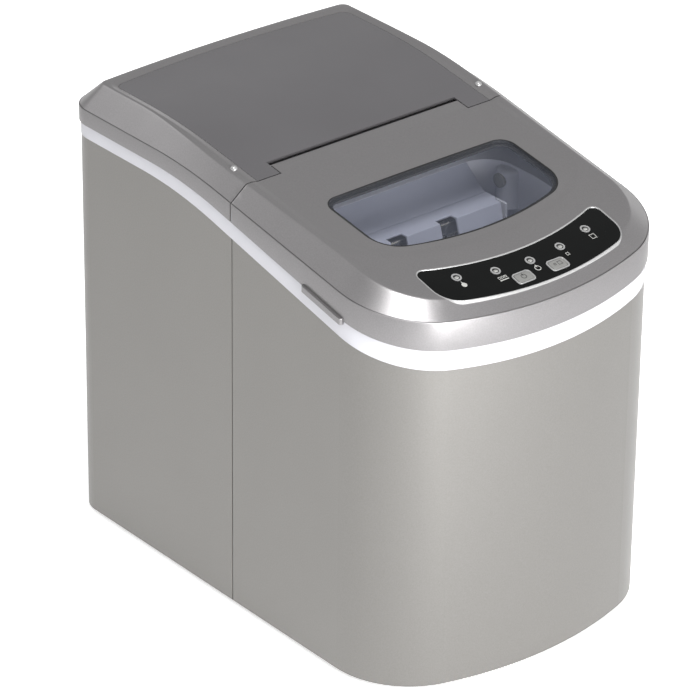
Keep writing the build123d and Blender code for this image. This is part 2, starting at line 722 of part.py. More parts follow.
with BuildPart() as control_board:
    add(sheet(controls_plan(-BEZEL - 1.5), PANEL, -BOARD_DROP - BOARD, -BOARD_DROP))
    for place in KEY_PLACES:
        with BuildSketch(panel_plane(*place, -BOARD_DROP - 0.4)):
            Rectangle(6, 6)
        extrude(amount=BOARD_DROP + 0.4 - KEY_DEPTH - KEY_TRAVEL - SWITCH_GAP)
    for place in LAMP_PLACES:
        with BuildSketch(panel_plane(*place, -BOARD_DROP - 0.4)):
            Circle(1.5)
        extrude(amount=BOARD_DROP + 0.4 - FASCIA - 0.5)
keep(control_board, "control_board")

with BuildPart() as control_shield:
    add(sheet(controls_plan(-BEZEL), PANEL, -SHIELD_DEPTH, -FASCIA - 0.8))
    add(over(controls_plan(-BEZEL - SHIELD + 0.3), PANEL, -SHIELD_DEPTH + SHIELD), mode=Mode.SUBTRACT)
keep(control_shield, "control_shield")

# --- Tub and basket -------------------------------------------------------------------------------
def level(plan, low, high):
    """A plan raised between two heights."""
    with BuildPart() as form:
        with BuildSketch(Plane.XY.offset(low)):
            add(plan)
        extrude(amount=high - low)
    return form.part


def disc(plane, places, radius, amount):
    """Round bars or holes standing on a plane."""
    with BuildPart() as group:
        with BuildSketch(plane):
            with Locations(*places):
                Circle(radius)
        extrude(amount=amount)
    return group.part


def both_sides(piece):
    """A piece and its mirror image across the middle."""
    with BuildPart() as pair:
        add(piece)
        mirror(about=Plane.YZ)
    return pair.part


TUB_BASE = TUB_FLOOR - TUB_WALL
FLANGE_REAR = SKIRT_Y - FIT_GAP
with BuildPart() as inner_tub:
    add(level(tub_plan(TUB_WALL), TUB_BASE, TALL))
    add(under(TUB_TOP), mode=Mode.INTERSECT)
    add(sheet(outline(Plane.XY.offset(CROWN_FLOOR), -BAND_WIDTH - FIT_GAP), TUB_TOP, -TUB_WALL, 0))
    split(bisect_by=Plane.XZ.offset(-FLANGE_REAR), keep=Keep.TOP)
    add(level(tub_plan(), TUB_FLOOR, TALL), mode=Mode.SUBTRACT)
    rail_x = (TUB_HALF - RAIL_WIDTH, TUB_HALF + TUB_WALL / 2)
    add(both_sides(block(rail_x, (RAIL_FRONT, RAIL_REAR), (RAIL_Z, RAIL_Z + RAIL_TALL))))
    rear_wall, tubes = Plane.XZ.offset(-TUB_REAR + TUB_WALL), [(-BAR_TUBE_X, BAR_Z), (BAR_TUBE_X, BAR_Z)]
    add(disc(rear_wall, tubes, PIPE_R + FIT_GAP, -3 * TUB_WALL), mode=Mode.SUBTRACT)
    add(disc(rear_wall, [(HOSE_X, HOSE_Z)], HOSE_R + FIT_GAP, -3 * TUB_WALL), mode=Mode.SUBTRACT)
    add(disc(Plane.XY.offset(TUB_BASE - 1), [SPOUT_AT, PUMP_AT], SPOUT_R, 2 * TUB_WALL), mode=Mode.SUBTRACT)
keep(inner_tub, "inner_tub")

with BuildPart() as tub_insulation:
    add(level(tub_plan(TUB_WALL + JACKET), TUB_BASE, TALL))
    add(under(TUB_TOP, -TUB_WALL), mode=Mode.INTERSECT)
    add(level(tub_plan(TUB_WALL), TUB_BASE - 1, TALL), mode=Mode.SUBTRACT)
    split(bisect_by=Plane.XZ.offset(-TUB_REAR + TUB_WALL), keep=Keep.TOP)
keep(tub_insulation, "tub_insulation")


def basket_plan(grow=0.0):
    """The basket's outside plan."""
    return arc_plan(
        BASKET_HALF + grow, BASKET_REAR + grow, BASKET_FRONT - grow, RECESS_BOW_R + grow, 10 + grow, 34 + grow
    )


BASKET_TOP = BASKET_FLOOR + BASKET_TALL
LIP_Z = RAIL_Z + RAIL_TALL + RUN_GAP
with BuildPart() as ice_basket:
    add(level(basket_plan(), BASKET_FLOOR, BASKET_TOP))
    add(level(basket_plan(-BASKET_WALL), BASKET_FLOOR + BASKET_WALL, TALL), mode=Mode.SUBTRACT)
    lip_x = (BASKET_HALF - BASKET_WALL, TUB_HALF - RUN_GAP)
    add(both_sides(block(lip_x, (RAIL_FRONT, RAIL_REAR), (LIP_Z, LIP_Z + BASKET_WALL))))
    with BuildSketch(Plane.XY.offset(BASKET_FLOOR)):
        with Locations((0, (BASKET_REAR + BASKET_FRONT) / 2)):
            with GridLocations(BASKET_SLOT_PITCH, BASKET_SLOT_PITCH, 9, 4):
                SlotOverall(*BASKET_SLOT)
    extrude(amount=BASKET_WALL, mode=Mode.SUBTRACT)
keep(ice_basket, "ice_basket")

# --- Ice head: evaporator fingers over a tilting tray ---------------------------------------------
BAR_LOW = BAR_Z - BAR_TALL / 2
BAR_TOP = BAR_Z + BAR_TALL / 2
BAR_REAR = TRAY_Y + BAR_DEPTH / 2
STRAP = 1.2
BACK_GAP = 1.0  # back plate's stand-off from the tub's wall
with BuildPart() as head_frame:
    back_y = (TUB_REAR - BACK_GAP - FRAME_WALL, TUB_REAR - BACK_GAP)
    strap_y = (TRAY_Y - BAR_DEPTH / 4, TRAY_Y + BAR_DEPTH / 4)
    add(both_sides(block((0, HEAD_HALF), back_y, (FRAME_LOW, BAR_LOW))))
    end_x = (HEAD_HALF - FRAME_WALL, HEAD_HALF)
    add(both_sides(block(end_x, (FRAME_FRONT, back_y[1]), (FRAME_LOW, BAR_TOP + STRAP))))
    add(both_sides(block((BAR_HALF - 2 * HEADER, HEAD_HALF), strap_y, (BAR_TOP, BAR_TOP + STRAP))))
    bosses = [(x, (FRAME_LOW + BAR_LOW) / 2) for x in (-BAR_TUBE_X, 0, BAR_TUBE_X)]
    add(disc(Plane.XZ.offset(-back_y[1] + FRAME_WALL / 2), bosses, HEADER, -FRAME_WALL / 2 - BACK_GAP))
    add(rod(JOURNAL_R + SHAFT_GAP, -HEAD_HALF - 1, HEAD_HALF + 1, TRAY_Y, TRAY_Z), mode=Mode.SUBTRACT)
keep(head_frame, "head_frame")

JOURNAL_END = HEAD_HALF + 2.0
with BuildPart() as water_tray:
    add(rod(TRAY_R + TRAY_WALL, -TRAY_HALF, TRAY_HALF, TRAY_Y, TRAY_Z))
    add(rod(TRAY_R, -TRAY_HALF + TRAY_WALL, TRAY_HALF - TRAY_WALL, TRAY_Y, TRAY_Z), mode=Mode.SUBTRACT)
    split(bisect_by=Plane.XY.offset(TRAY_Z + TRAY_RISE), keep=Keep.BOTTOM)
    add(both_sides(rod(JOURNAL_R, TRAY_HALF - TRAY_WALL / 2, JOURNAL_END, TRAY_Y, TRAY_Z)))
keep(water_tray, "water_tray")

FINGER_COUNT = 1 + int(2 * (BAR_HALF - FINGER_R - FIT_GAP) / FINGER_PITCH)
with BuildPart() as evaporator:
    add(block((-BAR_HALF, BAR_HALF), (TRAY_Y - BAR_DEPTH / 2, BAR_REAR), (BAR_LOW, BAR_TOP)))
    fillet(evaporator.edges().filter_by(Axis.X), radius=BAR_TALL / 5)
    with BuildSketch(Plane.XY.offset(BAR_Z)):
        with Locations((0, TRAY_Y)):
            with GridLocations(FINGER_PITCH, 1, FINGER_COUNT, 1):
                Circle(FINGER_R)
    extrude(amount=-(BAR_Z - TRAY_Z + FINGER_DIP))
    fillet(evaporator.edges().filter_by(GeomType.CIRCLE).group_by(Axis.Z)[0], radius=FINGER_R * 0.6)
keep(evaporator, "evaporator")

COVER_TOP = (TUB_REAR - 0.02, TUB_TOP.rear_z)
COVER_FOOT = (COVER_FOOT_Y, SHELF_Z)
with BuildPart() as head_cover:
    with BuildSketch(Plane.YZ.offset(SHELF_SPAN[0])):
        with BuildLine():
            Polyline(
                COVER_TOP, COVER_FOOT, (COVER_FOOT[0], COVER_FOOT[1] - SHELF_WALL),
                (COVER_TOP[0], COVER_TOP[1] - 2 * SHELF_WALL), COVER_TOP,
            )
        make_face()
    extrude(amount=SHELF_SPAN[1] - SHELF_SPAN[0])
keep(head_cover, "head_cover")

FLAP_LEAN = 6.0
FLAP_BEND = 6.0
RUNNER = 6.0
with BuildPart() as ice_shovel:
    for near_x, far_x in FLAPS:
        with BuildSketch(Plane.YZ.offset(near_x)):
            with BuildLine():
                shelf_y, foot_y = SHELF_FRONT + FLAP_BEND, SHELF_FRONT - FLAP_LEAN
                low_z = SHELF_Z - SHELF_WALL
                Polyline(
                    (shelf_y, SHELF_Z), (SHELF_FRONT, SHELF_Z), (foot_y, SHELF_Z - FLAP_DROP),
                    (foot_y + SHELF_WALL, SHELF_Z - FLAP_DROP), (SHELF_FRONT + SHELF_WALL, low_z),
                    (shelf_y, low_z), (shelf_y, SHELF_Z),
                )
            make_face()
        extrude(amount=far_x - near_x)
    add(block(SHELF_SPAN, (shelf_y, COVER_FOOT_Y - RUN_GAP), (low_z, SHELF_Z)))
    for near_x in (SHELF_SPAN[0], SHELF_SPAN[1] - RUNNER):
        runner_z = (BAR_TOP + STRAP + RUN_GAP, SHELF_Z)
        add(block((near_x, near_x + RUNNER), (shelf_y, COVER_FOOT_Y - RUN_GAP), runner_z))
keep(ice_shovel, "ice_shovel")

MOTOR_CASE = (11.0, 27.0, 28.0)
MOTOR_GAP = 3.2
with BuildPart() as tray_motor:
    case_x = (-HEAD_HALF - MOTOR_GAP - MOTOR_CASE[0], -HEAD_HALF - MOTOR_GAP)
    case_y = (TRAY_Y - MOTOR_CASE[1] + 9, TRAY_Y + 9)
    add(block(case_x, case_y, (TRAY_Z - MOTOR_CASE[2] / 2, TRAY_Z + MOTOR_CASE[2] / 2)))
    fillet(tray_motor.edges().filter_by(Axis.X), radius=4)
    add(rod(2 * JOURNAL_R, case_x[1] - 1, -JOURNAL_END - RUN_GAP, TRAY_Y, TRAY_Z))
keep(tray_motor, "tray_motor")

SENSOR_TOP = TUB_TOP.rear_z - 2.0
with BuildPart() as sensor_housings:
    foot = Plane.XY.offset(SENSOR_LOW)
    add(both_sides(disc(foot, [(TUB_HALF, SENSOR_AT[0])], SENSOR_R, SENSOR_TOP - SENSOR_LOW)))
    fillet(sensor_housings.edges().group_by(Axis.Z)[-1], radius=SENSOR_R / 3)
    add(level(tub_plan(), TUB_FLOOR, TALL), mode=Mode.INTERSECT)
keep(sensor_housings, "sensor_housings")

LENS_R = 5.0
LENS_PROUD = 1.2
with BuildPart() as sensor_lenses:
    lens_x = TUB_HALF - SENSOR_R - LENS_PROUD
    add(both_sides(rod(LENS_R, lens_x, TUB_HALF - SENSOR_R / 2, *SENSOR_AT)))
    add(sensor_housings.part, mode=Mode.SUBTRACT)
keep(sensor_lenses, "sensor_lenses")

# --- Water circuit --------------------------------------------------------------------------------
OUTLET_AT = (PUMP_AT[0] + OUTLET_SHIFT, PAN_FLOOR + OUTLET_RISE)
with BuildPart() as water_pump:
    add(disc(Plane.XY.offset(PAN_FLOOR), [PUMP_AT], PUMP_R, PUMP_TALL))
    add(disc(Plane.XY.offset(PAN_FLOOR), [PUMP_AT], INLET_R, TUB_BASE - PAN_FLOOR))
    add(disc(Plane.XZ.offset(-PUMP_AT[1]), [OUTLET_AT], HOSE_R, PUMP_AT[1] - OUTLET_END_Y))
keep(water_pump, "water_pump")


def tube(points, bend, radius):
    """A round tube or pipe along straight runs joined by bends."""
    with BuildPart() as pipe:
        with BuildLine() as path:
            FilletPolyline(*points, radius=bend)
        with BuildSketch(Plane(origin=path.line @ 0, z_dir=path.line % 0)):
            Circle(radius)
        sweep()
    return pipe.part


HOSE_BEND = 6.0
with BuildPart() as water_hose:
    low_run = [(OUTLET_AT[0], OUTLET_END_Y, OUTLET_AT[1]), (OUTLET_AT[0], HOSE_Y, OUTLET_AT[1])]
    rise = [(HOSE_X, HOSE_Y, OUTLET_AT[1]), (HOSE_X, HOSE_Y, HOSE_Z), (HOSE_X, HOSE_END_Y, HOSE_Z)]
    add(tube(low_run + rise, HOSE_BEND, HOSE_R))
keep(water_hose, "water_hose")

DRAIN_R = DRAIN_BORE_R + DRAIN_WALL
OUTLET_X = BODY_WIDTH / 2 - SKIN - 1.0
DRAIN_AXIS = (SPOUT_AT[1], DRAIN_Z)
with BuildPart() as drain_pipe:
    add(rod(DRAIN_R, SPOUT_AT[0] - DRAIN_R, OUTLET_X, *DRAIN_AXIS))
    add(disc(Plane.XY.offset(DRAIN_Z), [SPOUT_AT], SPOUT_R + DRAIN_WALL, TUB_BASE - DRAIN_Z))
    add(disc(Plane.XY.offset(DRAIN_Z), [SPOUT_AT], SPOUT_R, TUB_BASE - DRAIN_Z), mode=Mode.SUBTRACT)
    add(rod(DRAIN_BORE_R, SPOUT_AT[0] - DRAIN_BORE_R, OUTLET_X, *DRAIN_AXIS), mode=Mode.SUBTRACT)
keep(drain_pipe, "drain_pipe")

CAP_PROUD = 1.6
PULL = (1.8, 3.0, 14.0)
with BuildPart() as drain_plug:
    cap_x = (OUTLET_X + RUN_GAP, BODY_WIDTH / 2 + CAP_PROUD)
    add(rod(DRAIN_CAP_R, *cap_x, *DRAIN_AXIS))
    fillet(drain_plug.edges().filter_by(GeomType.CIRCLE).group_by(Axis.X)[-1], radius=1.2)
    add(rod(DRAIN_BORE_R - SHAFT_GAP, cap_x[0] - PLUG_LONG, cap_x[1] - 1, *DRAIN_AXIS))
    pull_y = (DRAIN_AXIS[0] - PULL[1] / 2, DRAIN_AXIS[0] + PULL[1] / 2)
    add(block((cap_x[1] - 1, cap_x[1] + PULL[0]), pull_y, (DRAIN_Z - PULL[2] / 2, DRAIN_Z + PULL[2] / 2)))
keep(drain_plug, "drain_plug")

# --- Cooling circuit ------------------------------------------------------------------------------
COMPRESSOR_FOOT = (102.0, 96.0)
MOUNT_INSET = 9.0
SHELL_BASE = PAN_FLOOR + MOUNT_TALL
with BuildPart() as compressor_mounts:
    with BuildSketch(Plane.XY.offset(PAN_FLOOR)):
        with Locations(COMPRESSOR_AT):
            spread = [side - 2 * MOUNT_INSET for side in COMPRESSOR_FOOT]
            with GridLocations(*spread, 2, 2):
                Circle(MOUNT_R)
    extrude(amount=MOUNT_TALL)
keep(compressor_mounts, "compressor_mounts")

SEAM_TALL = 5.0
with BuildPart() as compressor:
    add(disc(Plane.XY.offset(SHELL_BASE), [COMPRESSOR_AT], COMPRESSOR_R, COMPRESSOR_TALL))
    fillet(compressor.edges().filter_by(GeomType.CIRCLE).group_by(Axis.Z)[-1], radius=COMPRESSOR_R / 3)
    seam_plane = Plane.XY.offset(SHELL_BASE + COMPRESSOR_TALL / 2)
    add(disc(seam_plane, [COMPRESSOR_AT], COMPRESSOR_R + 2, SEAM_TALL))
    with BuildSketch(Plane.XY.offset(SHELL_BASE)):
        with Locations(COMPRESSOR_AT):
            RectangleRounded(*COMPRESSOR_FOOT, 10)
    extrude(amount=FOOT_PLATE)
keep(compressor, "compressor")

CONDENSER_X = (FAN_AT[0] - SHROUD_HALF, FAN_AT[0] + SHROUD_HALF)
CONDENSER_Y = (SHROUD_FRONT - CONDENSER_GAP - CONDENSER_DEPTH, SHROUD_FRONT - CONDENSER_GAP)
with BuildPart() as condenser:
    add(block(CONDENSER_X, CONDENSER_Y, (PAN_FLOOR, CONDENSER_TOP)))
    gap_count = int((CONDENSER_TOP - PAN_FLOOR - 2 * HEADER) / FIN_PITCH)
    with BuildSketch(Plane.XZ.offset(-CONDENSER_Y[0])):
        with Locations((FAN_AT[0], (CONDENSER_TOP + PAN_FLOOR) / 2)):
            with GridLocations(1, FIN_PITCH, 1, gap_count):
                Rectangle(2 * SHROUD_HALF - 2 * HEADER, FIN_GAP)
    extrude(amount=-CONDENSER_DEPTH, mode=Mode.SUBTRACT)
keep(condenser, "condenser")


def post(radius, y_from, y_to):
    """A round bar on the fan's axis."""
    return disc(Plane.XZ.offset(-y_from), [FAN_AT], radius, y_from - y_to)


SHROUD_REAR = SHROUD_FRONT + SHROUD_DEPTH
MOTOR_START = SHROUD_FRONT - CONDENSER_GAP / 2
MOTOR_END = MOTOR_START + FAN_MOTOR_LONG
FAN_START = MOTOR_END + 1.0
with BuildPart() as fan_shroud:
    add(block(CONDENSER_X, (SHROUD_FRONT, SHROUD_REAR), (PAN_FLOOR, FAN_AT[1] + SHROUD_HALF)))
    add(post(FAN_R + FAN_TIP_GAP, SHROUD_FRONT, SHROUD_REAR), mode=Mode.SUBTRACT)
    spoke_z = (FAN_AT[1] - SPOKE / 2, FAN_AT[1] + SPOKE / 2)
    add(block((FAN_AT[0] - FAN_R - 4, FAN_AT[0] + FAN_R + 4), (SHROUD_FRONT, SHROUD_FRONT + SPOKE), spoke_z))
    add(post(FAN_MOTOR_R + FIT_GAP, SHROUD_FRONT, SHROUD_REAR), mode=Mode.SUBTRACT)
keep(fan_shroud, "fan_shroud")

with BuildPart() as fan_motor:
    add(post(FAN_MOTOR_R, MOTOR_START, MOTOR_END))
    add(post(FAN_SHAFT_R, MOTOR_END, FAN_START + FAN_HUB_LONG - 2))
keep(fan_motor, "fan_motor")

with BuildPart() as fan_blade:
    add(post(FAN_HUB_R, FAN_START, FAN_START + FAN_HUB_LONG))
    for number in range(BLADE_COUNT):
        turn = radians(360 / BLADE_COUNT * number)
        hub = (FAN_AT[0], FAN_START + FAN_HUB_LONG / 2, FAN_AT[1])
        root = Plane(origin=hub, x_dir=(0, 1, 0), z_dir=(sin(turn), 0, cos(turn)))
        with BuildSketch(root.offset(FAN_HUB_R - 2)):
            Rectangle(BLADE_CHORD, 1.6, rotation=BLADE_PITCH)
        extrude(amount=FAN_R - FAN_HUB_R)
    add(post(FAN_SHAFT_R + SHAFT_GAP, FAN_START, FAN_START + FAN_HUB_LONG - 1), mode=Mode.SUBTRACT)
keep(fan_blade, "fan_blade")

with BuildPart() as filter_drier:
    add(disc(Plane.XY.offset(DRIER_Z[0]), [DRIER_AT], DRIER_R, DRIER_Z[1] - DRIER_Z[0]))
    fillet(filter_drier.edges().filter_by(GeomType.CIRCLE), radius=DRIER_R / 2)
keep(filter_drier, "filter_drier")

VALVE_ENDS = (VALVE_Z[0] - VALVE_STUB, VALVE_Z[1] + VALVE_STUB)
with BuildPart() as hot_gas_valve:
    with BuildSketch(Plane.XY.offset(VALVE_Z[0])):
        with Locations(VALVE_AT):
            RectangleRounded(VALVE_SIZE, VALVE_SIZE, 4)
    extrude(amount=VALVE_Z[1] - VALVE_Z[0])
    add(disc(Plane.XY.offset(VALVE_ENDS[0]), [VALVE_AT], 2 * PIPE_R, VALVE_ENDS[1] - VALVE_ENDS[0]))
keep(hot_gas_valve, "hot_gas_valve")

with BuildPart() as bulkhead:
    sheet_y = (BULKHEAD_Y, BULKHEAD_Y + BULKHEAD)
    add(block((-BULKHEAD_HALF, BULKHEAD_HALF), sheet_y, (PAN_FLOOR, BULKHEAD_TOP)))
    holes = [(-BAR_TUBE_X, BAR_Z), (BAR_TUBE_X, BAR_Z)]
    add(disc(Plane.XZ.offset(-BULKHEAD_Y), holes, PIPE_R + 1, -BULKHEAD), mode=Mode.SUBTRACT)
keep(bulkhead, "bulkhead")

CONDENSER_MID_Y = (CONDENSER_Y[0] + CONDENSER_Y[1]) / 2
SHELL_TOP = SHELL_BASE + COMPRESSOR_TALL
FEED_Z = BAR_Z + 8.0
FEED_Y = 44.0
with BuildPart() as copper_pipes:
    suction_x, delivery_x = COMPRESSOR_AT[0] - COMPRESSOR_PORT, COMPRESSOR_AT[0] + COMPRESSOR_PORT
    port_y = COMPRESSOR_AT[1]
    turn_y = port_y - (-BAR_TUBE_X - suction_x)
    suction = [(suction_x, port_y, SHELL_TOP), (suction_x, port_y, BAR_Z), (-BAR_TUBE_X, turn_y, BAR_Z)]
    add(tube(suction + [(-BAR_TUBE_X, BAR_REAR, BAR_Z)], 6, PIPE_R))
    inlet_x, outlet_x = CONDENSER_X[0] + 10, DRIER_AT[0]
    delivery = [(delivery_x, port_y, SHELL_TOP), (delivery_x, port_y, CROSS_Z), (inlet_x, port_y, CROSS_Z)]
    entry = [(inlet_x, CONDENSER_MID_Y, CROSS_Z), (inlet_x, CONDENSER_MID_Y, CONDENSER_TOP)]
    add(tube(delivery + entry, 5, PIPE_R))
    leave = [(outlet_x, CONDENSER_MID_Y, CONDENSER_TOP), (outlet_x, CONDENSER_MID_Y, CROSS_Z - 2)]
    add(tube(leave + [(*DRIER_AT, CROSS_Z - 2), (*DRIER_AT, DRIER_Z[0])], 3.5, PIPE_R))
    feed = [(*DRIER_AT, DRIER_Z[1]), (*DRIER_AT, FEED_Z), (BAR_TUBE_X, FEED_Y, FEED_Z)]
    add(tube(feed + [(BAR_TUBE_X, FEED_Y, BAR_Z), (BAR_TUBE_X, BAR_REAR, BAR_Z)], 3.4, PIPE_R))
    branch = [(0, port_y - BRANCH_R / 2, CROSS_Z), (0, VALVE_AT[1], CROSS_Z), (*VALVE_AT, CROSS_Z)]
    add(tube(branch + [(*VALVE_AT, VALVE_ENDS[0])], 3.5, BRANCH_R))
    share = (VALVE_AT[0] - BAR_TUBE_X) / (DRIER_AT[0] - BAR_TUBE_X)
    join_y = FEED_Y + share * (DRIER_AT[1] - FEED_Y)
    add(tube([(*VALVE_AT, VALVE_ENDS[1]), (*VALVE_AT, FEED_Z), (VALVE_AT[0], join_y, FEED_Z)], 5, PIPE_R))
keep(copper_pipes, "copper_pipes")

BOX_Y = (BULKHEAD_Y + BULKHEAD, BULKHEAD_Y + BULKHEAD + BOX_DEPTH)
with BuildPart() as electrics_box:
    add(block(BOX_X, BOX_Y, BOX_Z))
    hollow_x = (BOX_X[0] + BOX_WALL, BOX_X[1] - BOX_WALL)
    hollow_z = (BOX_Z[0] + BOX_WALL, BOX_Z[1] - BOX_WALL)
    add(block(hollow_x, (BOX_Y[0] + BOX_WALL, BOX_Y[1]), hollow_z), mode=Mode.SUBTRACT)
keep(electrics_box, "electrics_box")

BOARD_INSET = BOX_WALL + 2.0
with BuildPart() as main_board:
    board_y = (BOX_Y[0] + BOX_WALL + BOARD_STANDOFF, BOX_Y[0] + BOX_WALL + BOARD_STANDOFF + BOARD)
    board_x = (BOX_X[0] + BOARD_INSET, BOX_X[1] - BOARD_INSET)
    board_z = (BOX_Z[0] + BOARD_INSET, BOX_Z[1] - BOARD_INSET)
    add(block(board_x, board_y, board_z))
    coil_x, coil_z = (board_x[0] + 6, board_x[0] + 28), (board_z[0] + 6, board_z[0] + 30)
    add(block(coil_x, (board_y[1], board_y[1] + 13), coil_z))
    cans = [(board_x[1] - 12, board_z[0] + 16), (board_x[1] - 12, board_z[0] + 36)]
    add(disc(Plane.XZ.offset(-board_y[1]), cans, 5, -12))
    with BuildSketch(Plane.XZ.offset(-board_y[0])):
        with Locations((sum(BOX_X) / 2, sum(BOX_Z) / 2)):
            with GridLocations(board_x[1] - board_x[0] - 10, board_z[1] - board_z[0] - 10, 2, 2):
                Circle(2)
    extrude(amount=BOARD_STANDOFF)
keep(main_board, "main_board")
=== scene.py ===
from math import atan, atan2, cos, hypot, pi, radians, sin, sqrt, tan

import bmesh
import bpy
from mathutils import Matrix, Vector


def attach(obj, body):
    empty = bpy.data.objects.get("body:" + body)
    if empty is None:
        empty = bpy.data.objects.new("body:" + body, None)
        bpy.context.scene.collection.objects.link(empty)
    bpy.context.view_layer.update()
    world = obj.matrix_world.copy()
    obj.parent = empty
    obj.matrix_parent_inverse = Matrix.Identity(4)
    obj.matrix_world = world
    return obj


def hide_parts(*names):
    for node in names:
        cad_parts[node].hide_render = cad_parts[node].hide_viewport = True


# A countertop ice maker, finished round its CAD frame. Sizes are in millimetres until a piece is placed.
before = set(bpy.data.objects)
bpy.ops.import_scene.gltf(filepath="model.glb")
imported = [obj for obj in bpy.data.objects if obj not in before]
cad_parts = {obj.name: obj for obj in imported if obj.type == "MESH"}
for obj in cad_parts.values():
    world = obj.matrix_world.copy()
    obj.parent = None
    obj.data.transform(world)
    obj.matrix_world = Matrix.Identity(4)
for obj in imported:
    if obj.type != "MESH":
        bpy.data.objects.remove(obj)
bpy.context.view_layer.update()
MM = 0.001

# --- The cabinet's plan and the top's side curves, as the frame has them -----------------------------
HALF_WIDTH = 118.8
HALF_DEPTH = 176.8
FRONT_BOW = 29.3
REAR_BOW = 5.5
FRONT_CORNER = 60.0
REAR_CORNER = 20.0
RIM_OVERHANG = 1.4
SEAM = 0.4  # half the seam's width
TONGUE_HALF = 79.0
TONGUE_REAR = 14.3
FIELD_HALF = 98.2
FIELD_FRONT = -118.0
FIELD_REAR = 155.0
FIELD_BOW_R = 215.0
FIELD_FRONT_CORNER = 50.0
FIELD_REAR_CORNER = 7.0
LEDGE_INSET = 4.0  # the lip under the rear plate
LEDGE_REAR_CORNER = 5.0
LEDGE_DROP = 1.7
RIDGE_WIDTH = 4.4
SHELL_WALL = 2.2
CREASE = 0.5
PANEL = (319.3, [(80.0, 0.155, 450.0), (-122.0, 0.29, 700.0)])
CREST = (320.7, [(80.0, 0.1609, 450.0), (-122.0, 0.29, 700.0)])
RIM_BOTTOM = (295.7, [(48.2, 0.222, 320.0)])
RIM_MID_Z = 298.0
RIM_SLOPE = 0.18
RIM_REAR_Z = 306.5
FRONT_LEAN = radians(52.0)
REAR_LEAN = radians(47.3)
HINGE_Y = 9.9
HINGE_Z = 304.3
BARREL_R = 4.0


def height(curve, y):
    """Height of a side curve at depth y: level at the rear, then slopes joined by arcs."""
    level, knees = curve
    slope, start_y, start_z = 0.0, 240.0, level
    for knee_y, next_slope, radius in knees:
        knee_z = start_z - slope * (start_y - knee_y)
        reach = radius * tan((atan(next_slope) - atan(slope)) / 2)
        start = knee_y + reach * cos(atan(slope))
        if y >= start:
            return start_z - slope * (start_y - y)
        if y > knee_y - reach * cos(atan(next_slope)):
            middle_y = start + radius * sin(atan(slope))
            middle_z = knee_z + reach * sin(atan(slope)) - radius * cos(atan(slope))
            return middle_z + sqrt(radius**2 - (y - middle_y) ** 2)
        slope, start_y, start_z = next_slope, knee_y, knee_z
    return start_z - slope * (start_y - y)


def soft_min(a, b, blend):
    """The lower of two heights, rounded where they cross."""
    overlap = max(blend - abs(a - b), 0.0) / blend
    return min(a, b) - overlap**2 * blend / 4


def ease(low, high, value):
    """0 below low, 1 above high, smooth between."""
    share = min(max((value - low) / (high - low), 0.0), 1.0)
    return share * share * (3 - 2 * share)


# --- Bowed plans ------------------------------------------------------------------------------------
BOW_STEPS, CORNER_STEPS, SIDE_STEPS = 24, 20, 60


class Plan:
    """A plan with straight sides, a bowed front and a bowed rear, and rounded corners."""

    def __init__(self, half, front, front_bow_r, front_corner, rear, rear_bow_r, rear_corner):
        self.half, self.front, self.rear = half, front, rear
        self.ends = {}
        outlines = ((-1, front, front_bow_r, front_corner), (1, rear, rear_bow_r, rear_corner))
        for way, end, bow_r, corner in outlines:
            bow_y = end - way * bow_r
            corner_x = half - corner
            corner_y = bow_y + way * sqrt((bow_r - corner) ** 2 - corner_x**2)
            swing = atan2(abs(corner_y - bow_y), corner_x)
            self.ends[way] = (bow_y, bow_r, corner_x, corner_y, corner, swing)

    def depth(self, x, y):
        """How far inside the plan a point lies; negative outside."""
        x = abs(x)
        for way, (bow_y, bow_r, corner_x, corner_y, corner, swing) in self.ends.items():
            ahead = way * (y - corner_y)
            if ahead > 0:
                if atan2(ahead, x - corner_x) <= swing:
                    return corner - hypot(x - corner_x, ahead)
                return bow_r - hypot(x, y - bow_y)
        return self.half - x

    def ring(self):
        """Points round the plan from the middle of the front; every plan's points match by number."""
        runs = []
        for way in (-1, 1):
            bow_y, bow_r, corner_x, corner_y, corner, swing = self.ends[way]
            bow = [swing + (pi / 2 - swing) * i / BOW_STEPS for i in range(BOW_STEPS, 0, -1)]
            turn = [swing * i / CORNER_STEPS for i in range(CORNER_STEPS, -1, -1)]
            run = [(bow_r * cos(a), bow_y + way * bow_r * sin(a)) for a in bow]
            run += [(corner_x + corner * cos(a), corner_y + way * corner * sin(a)) for a in turn]
            runs.append(run)
        low, high = runs[0][-1][1], runs[1][-1][1]
        side = [(self.half, low + (high - low) * i / SIDE_STEPS) for i in range(1, SIDE_STEPS)]
        right = runs[0] + side + runs[1][::-1]
        return right + [(-x, y) for x, y in right[-2:0:-1]]


def bow_radius(half, bow):
    """Radius of an arc that rises by bow over a half width."""
    return (half**2 + bow**2) / (2 * bow)


def cabinet_plan(grow):
    """The cabinet's plan, grown outward."""
    half = HALF_WIDTH + grow
    return Plan(
        half, -HALF_DEPTH - grow, bow_radius(half, FRONT_BOW), FRONT_CORNER + grow,
        HALF_DEPTH + grow, bow_radius(half, REAR_BOW), REAR_CORNER + grow,
    )


RIM_PLAN = cabinet_plan(RIM_OVERHANG)
FIELD_PLAN = Plan(
    FIELD_HALF, FIELD_FRONT, FIELD_BOW_R, FIELD_FRONT_CORNER,
    FIELD_REAR, bow_radius(FIELD_HALF, REAR_BOW), FIELD_REAR_CORNER,
)
LEDGE_PLAN = Plan(
    FIELD_HALF - LEDGE_INSET, FIELD_FRONT + LEDGE_INSET, FIELD_BOW_R - LEDGE_INSET,
    FIELD_FRONT_CORNER - LEDGE_INSET, FIELD_REAR - LEDGE_INSET,
    bow_radius(FIELD_HALF - LEDGE_INSET, REAR_BOW), LEDGE_REAR_CORNER,
)


def rim_top(y):
    """Height of the edge where the rim wall meets the shoulder."""
    return soft_min(RIM_MID_Z + RIM_SLOPE * y, RIM_REAR_Z, 6.0)


